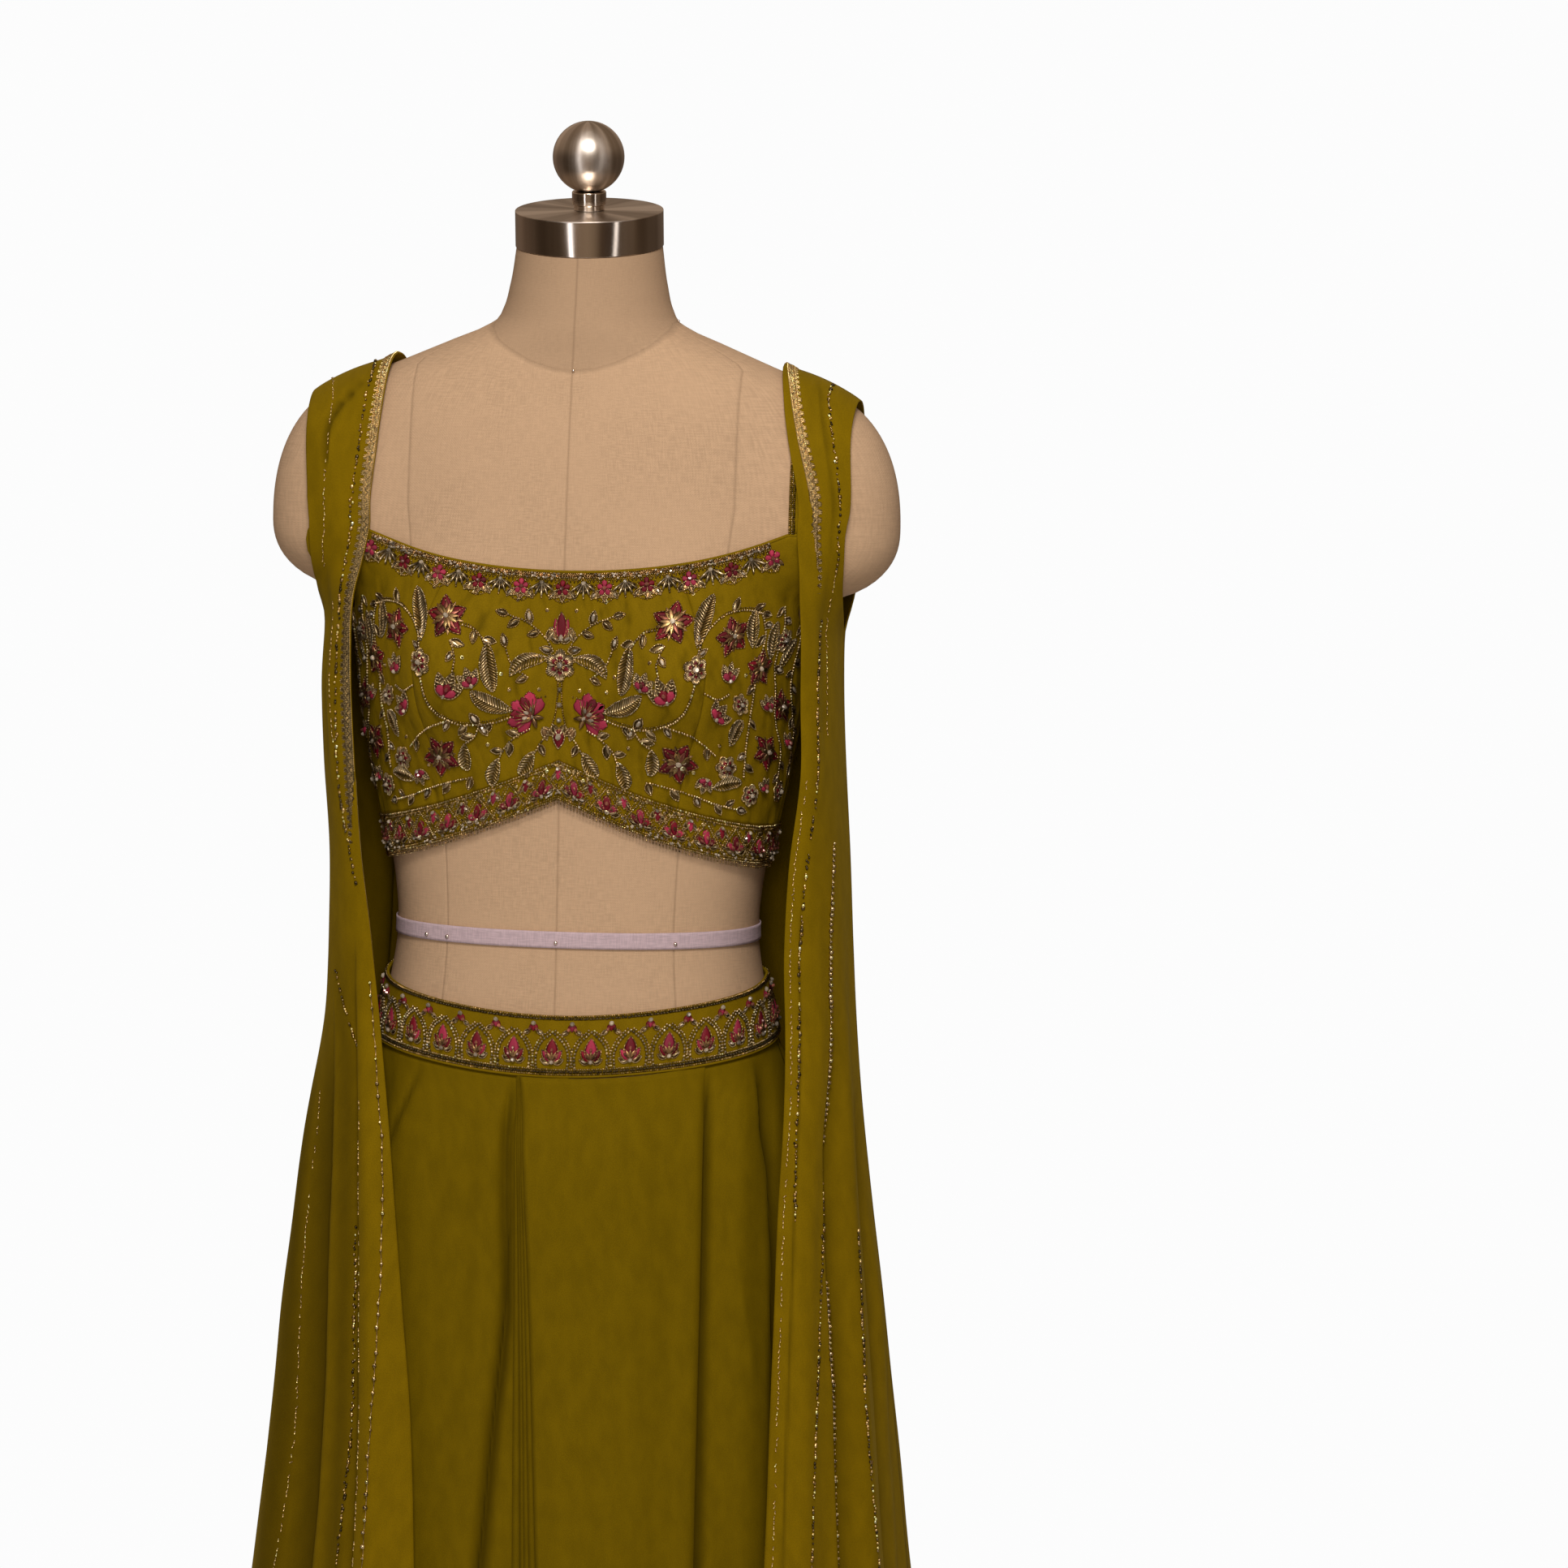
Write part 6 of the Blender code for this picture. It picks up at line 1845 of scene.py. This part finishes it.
def lace_strip(name, face, inset, length, node_name, outward, side):
    """Lace: a net strip, two twisted cords, a zigzag between them and fans on its outer side.

    It is set in from the edge, and down some of a front's length it turns under.
    """
    first, last = LACE_TURNS_UNDER[side] if node_name.startswith("jacket") else (9000, 9001)

    def sunk(w, s):
        place = first + (last - first) * np.clip(w / LACE_WIDE, 0, 1.5)
        return -2.2 * smooth_step((s - place) / 9.0)

    def aside(s):
        return np.interp(s, LACE_DOWN, inset)

    down = np.arange(0, length, 0.004)[:, None]
    wide = np.linspace(0, LACE_WIDE, 5)[None, :]
    flat = np.stack(np.broadcast_arrays((aside(down / MM) + wide) * MM, -down,
            (0.3 + sunk(wide, down / MM)) * MM), -1)
    net = cloth(f"{name}_net", face.lay(flat), LACE_WALL, LACE_NET, "lace", node_name, outward=outward)
    work = Beadwork(face, 61 + side, lambda s, w, turn: (aside(s) + w, -s, turn - 90))
    end = length / MM - 1
    s = np.arange(1, end, 1.5)
    for w, lean in ((0.8, 32), (LACE_WIDE - 0.4, -32)):
        work.add("rod", s, w, lean, 2.0, 1.0, 1.0, 0.1, "bright_gold")
    for w in (1.9, 2.9, 3.8):
        work.add("bead", s + work.random.uniform(-0.3, 0.3, len(s)), w, 0, 1.3, 1.1, 0.9, 0.0, "bright_gold")
    starts = np.arange(1, end - LACE_PITCH, LACE_PITCH)
    for k, (w0, w1) in enumerate(((1.4, LACE_WIDE - 1.2), (LACE_WIDE - 1.2, 1.4))):
        a, b = (np.stack([starts + n * LACE_PITCH / 2, 0 * starts + w], -1) for n, w in ((k, w0), (k + 1, w1)))
        work.rods(a, b, 0.9, "pale_gold", 0.1)
    foot = np.stack([starts + LACE_PITCH / 2, 0 * starts + LACE_WIDE - 0.2], -1)
    for lean, reach in ((35, 2.3), (62, 3.0), (90, 3.0), (118, 3.0), (145, 2.3)):
        a = math.radians(lean)
        work.rods(foot, foot + (math.cos(a) * reach, math.sin(a) * reach), 0.8, "bright_gold", 0.0)
    # Painted light and shade: the lace's tints are lit up near the shoulder and darkened further down the front.
    work.fade = lambda u, v: 0.28 + 0.85 * smooth_step(1 + v / 230.0)
    work.sink = lambda u, v: sunk(u - aside(-v), -v)
    return [net, *work.make(name, "lace")]


def sequin_lines(face, side, word):
    """Beaded lines down a front: flecks of thread, uneven chains, large beads, or knots."""
    work = Beadwork(face, 71 + side)
    random = work.random
    for kind, path in STITCH_LINES[side]:
        at, turn = spaced([(a, -d) for a, d in path], STITCH_PITCH[kind])
        count = len(at)
        tilt = turn + random.normal(0, 14, count)
        at = at + random.normal(0, 0.25, at.shape)
        if kind == "flecks":
            kept = random.random(count) < 0.75
            work.add("rod", *at[kept].T, tilt[kept], 2.4, 0.85, 0.85, 0.0, "bright_gold")
        elif kind == "chain":
            at = at + random.normal(0, 0.35, at.shape)
            size = random.choice((1.3, 1.7, 2.1, 2.9), count, p=(0.25, 0.35, 0.25, 0.15))
            kept = random.random(count) < 0.86
            draws = [(random.random(count) < share, tint)
                    for share, tint in ((0.45, "bright_gold"), (0.6, "smoke"), (0.9, "gold"))]
            for chosen, tint in draws:
                chosen = chosen & kept
                kept = kept & ~chosen
                work.add("bead", *at[chosen].T, tilt[chosen], size[chosen] * 1.2, size[chosen], 1.4, 0.0, tint)
        else:
            at = at + random.normal(0, 0.25, at.shape)
            size = random.uniform(0.65, 1.25, count) * 2.6
            work.add("bead", *at.T, tilt, size * 1.15, size, size * 0.8, 0.0, "silver")
            work.add("sequin", *at.T, tilt, size * 0.8, size * 0.7, 1.0, size * 0.6, "bright_gold")
            way = np.diff(at, axis=0)
            work.add("rod", *((at[1:] + at[:-1]) / 2).T, bearing(way), np.hypot(*way.T), 0.7, 0.6, 0.0, "gold")
    return work.make(f"jacket_knots_{word}", "lace")


# Studio


def make_studio():
    """Pale floor that fades out, a large soft key light, a weak fill, white surroundings, camera."""
    turn = circle(96)
    rings = np.array((0.0, 0.3, 0.6, 0.9, 1.2, 1.5))[::-1, None]
    p = np.stack([rings * np.cos(turn), rings * np.sin(turn), 0 * rings * turn], -1)
    floor = merged(mesh_of("studio_floor", p, grid_faces(6, 96, closed=True, outward=-1)))
    made = Finish("pale_floor", (0.86, 0.86, 0.86), Roughness=0.9)
    far = joined("VectorMath", made.read("TexCoord", "Object"), operation="LENGTH")["Value"]
    faded = joined("MixShader", span(far, 0.7, 1.45), made.shader.outputs[0], made.read("BsdfTransparent", 0))
    made.tree.links.new(faded[0], made.tree.nodes["Material Output"].inputs[0])
    floor.data.materials.append(made.material)
    scene = bpy.context.scene
    scene.world = bpy.data.worlds.new("white_studio")
    scene.world.use_nodes = True
    tree = scene.world.node_tree
    rays = node(tree, "LightPath").outputs
    x, y, z = joined("SeparateXYZ", node(tree, "TexCoord").outputs["Generated"])
    turn = maths("ARCTAN2", x, times(y, -1.0))
    ramp = node(tree, "ValToRGB", span(turn, -math.pi, math.pi, ease="LINEAR"))
    points = ramp.color_ramp.elements
    for degrees, colour in ROOM_BANDS:
        place = degrees / 360.0 + 0.5
        point = points[int(place)] if place in (0.0, 1.0) else points.new(place)
        point.color = (*colour, 1.0)
    room = mixed(span(z, -0.02, 0.35), ramp.outputs[0], (*ROOM_ABOVE, 1.0), "ADD")
    seen = mixed(rays["Is Glossy Ray"], (*WORLD_LIGHT, 1.0), room)
    seen = mixed(rays["Is Camera Ray"], seen, (0.975, 0.975, 0.975, 1.0))
    tree.links.new(seen, tree.nodes["Background"].inputs[0])
    for name, place, target, size, power, mirrored in LIGHTS:
        light = bpy.data.lights.new(name, "AREA")
        light.shape = "RECTANGLE"
        light.size, light.size_y = size
        light.energy = power
        lamp = bpy.data.objects.new(name, light)
        lamp.visible_glossy = mirrored
        back = unit(np.subtract(place, target))
        right = unit(np.cross((0, 0, 1), back))
        put(lamp, right, np.cross(back, right), back, place)
    place_camera()
    scene.view_settings.view_transform = "Standard"


def turned_by(angle, one, two):
    """Two square directions turned by an angle, the first towards the second."""
    return one * math.cos(angle) + two * math.sin(angle), two * math.cos(angle) - one * math.sin(angle)


def put(thing, right, up, back, place):
    """Adds a lamp or the camera to the scene at a place, with its own three directions."""
    bpy.context.scene.collection.objects.link(thing)
    matrix = np.eye(4)
    matrix[:3] = np.column_stack([right, up, back, place])
    thing.matrix_world = Matrix(matrix.tolist())


def place_camera():
    """Camera at the photograph's viewpoint: azimuth, pitch and roll, with no shift."""
    azimuth, pitch, roll = (math.radians(CAMERA[k]) for k in ("azimuth", "pitch", "roll"))
    sin, cos = math.sin(azimuth), math.cos(azimuth)
    place = np.array((CAMERA["distance"] * sin, -CAMERA["distance"] * cos, CAMERA["height"]))
    yaw = math.atan(CAMERA["yaw_px"] / CAMERA["focal_px"])
    ahead, right = turned_by(yaw, np.array((-sin, cos, 0.0)), np.array((cos, sin, 0.0)))
    ahead = ahead * math.cos(pitch) + np.array((0, 0, math.sin(pitch)))
    right, up = turned_by(roll, right, np.cross(right, ahead))
    data = bpy.data.cameras.new("photo_camera")
    data.sensor_width = 36.0
    data.lens = CAMERA["focal_px"] / PHOTO_PIXELS * data.sensor_width
    data.clip_end = 60.0
    camera = bpy.data.objects.new("photo_camera", data)
    put(camera, right, up, -ahead, place)
    bpy.context.scene.camera = camera


WORLD_LIGHT = (0.26, 0.25, 0.24)
ROOM_BANDS = (
    # turn from the front towards +X in degrees, and the light that polished metal sees there
    (-180, (0.1, 0.07, 0.05)), (180, (0.1, 0.07, 0.05)),
    (-120, (0.12, 0.08, 0.055)), (-75, (0.06, 0.04, 0.026)), (-38, (0.08, 0.055, 0.036)),
    (-25, (0.11, 0.075, 0.05)), (-23.5, (2.5, 2.5, 2.6)), (-19, (2.5, 2.5, 2.6)), (-17.5, (0.2, 0.14, 0.095)),
    (14, (0.19, 0.135, 0.09)), (30, (0.07, 0.045, 0.028)), (49, (0.09, 0.065, 0.05)),
    (50.5, (2.2, 2.2, 2.3)), (54.5, (2.2, 2.2, 2.3)), (56, (0.15, 0.11, 0.08)),
    (90, (0.08, 0.052, 0.032)), (125, (0.13, 0.095, 0.07)),
)
ROOM_ABOVE = (0.17, 0.128, 0.092)
LIGHTS = (
    # name, place, target, size, power, seen in polished metal
    ("key_light", (0.32, -1.87, 2.86), (0.0, 0.0, 1.2), (0.8, 0.7), 38.0, True),
    ("fill_light", (0.55, -3.7, 1.55), (0.0, 0.0, 1.1), (0.9, 0.9), 25.0, False),
    ("back_light", (-0.6, 2.7, 2.3), (0.0, 0.0, 1.0), (1.8, 1.8), 14.0, False),
)


# Making

make_studio()
make_form()
make_fittings()
make_top_cloth()
make_top_beads()
make_neck_border()
make_band_beads()
make_belt()
belt_edge()
make_skirt()
make_jacket()
for cut in CUTS:
    print("cut", *cut)
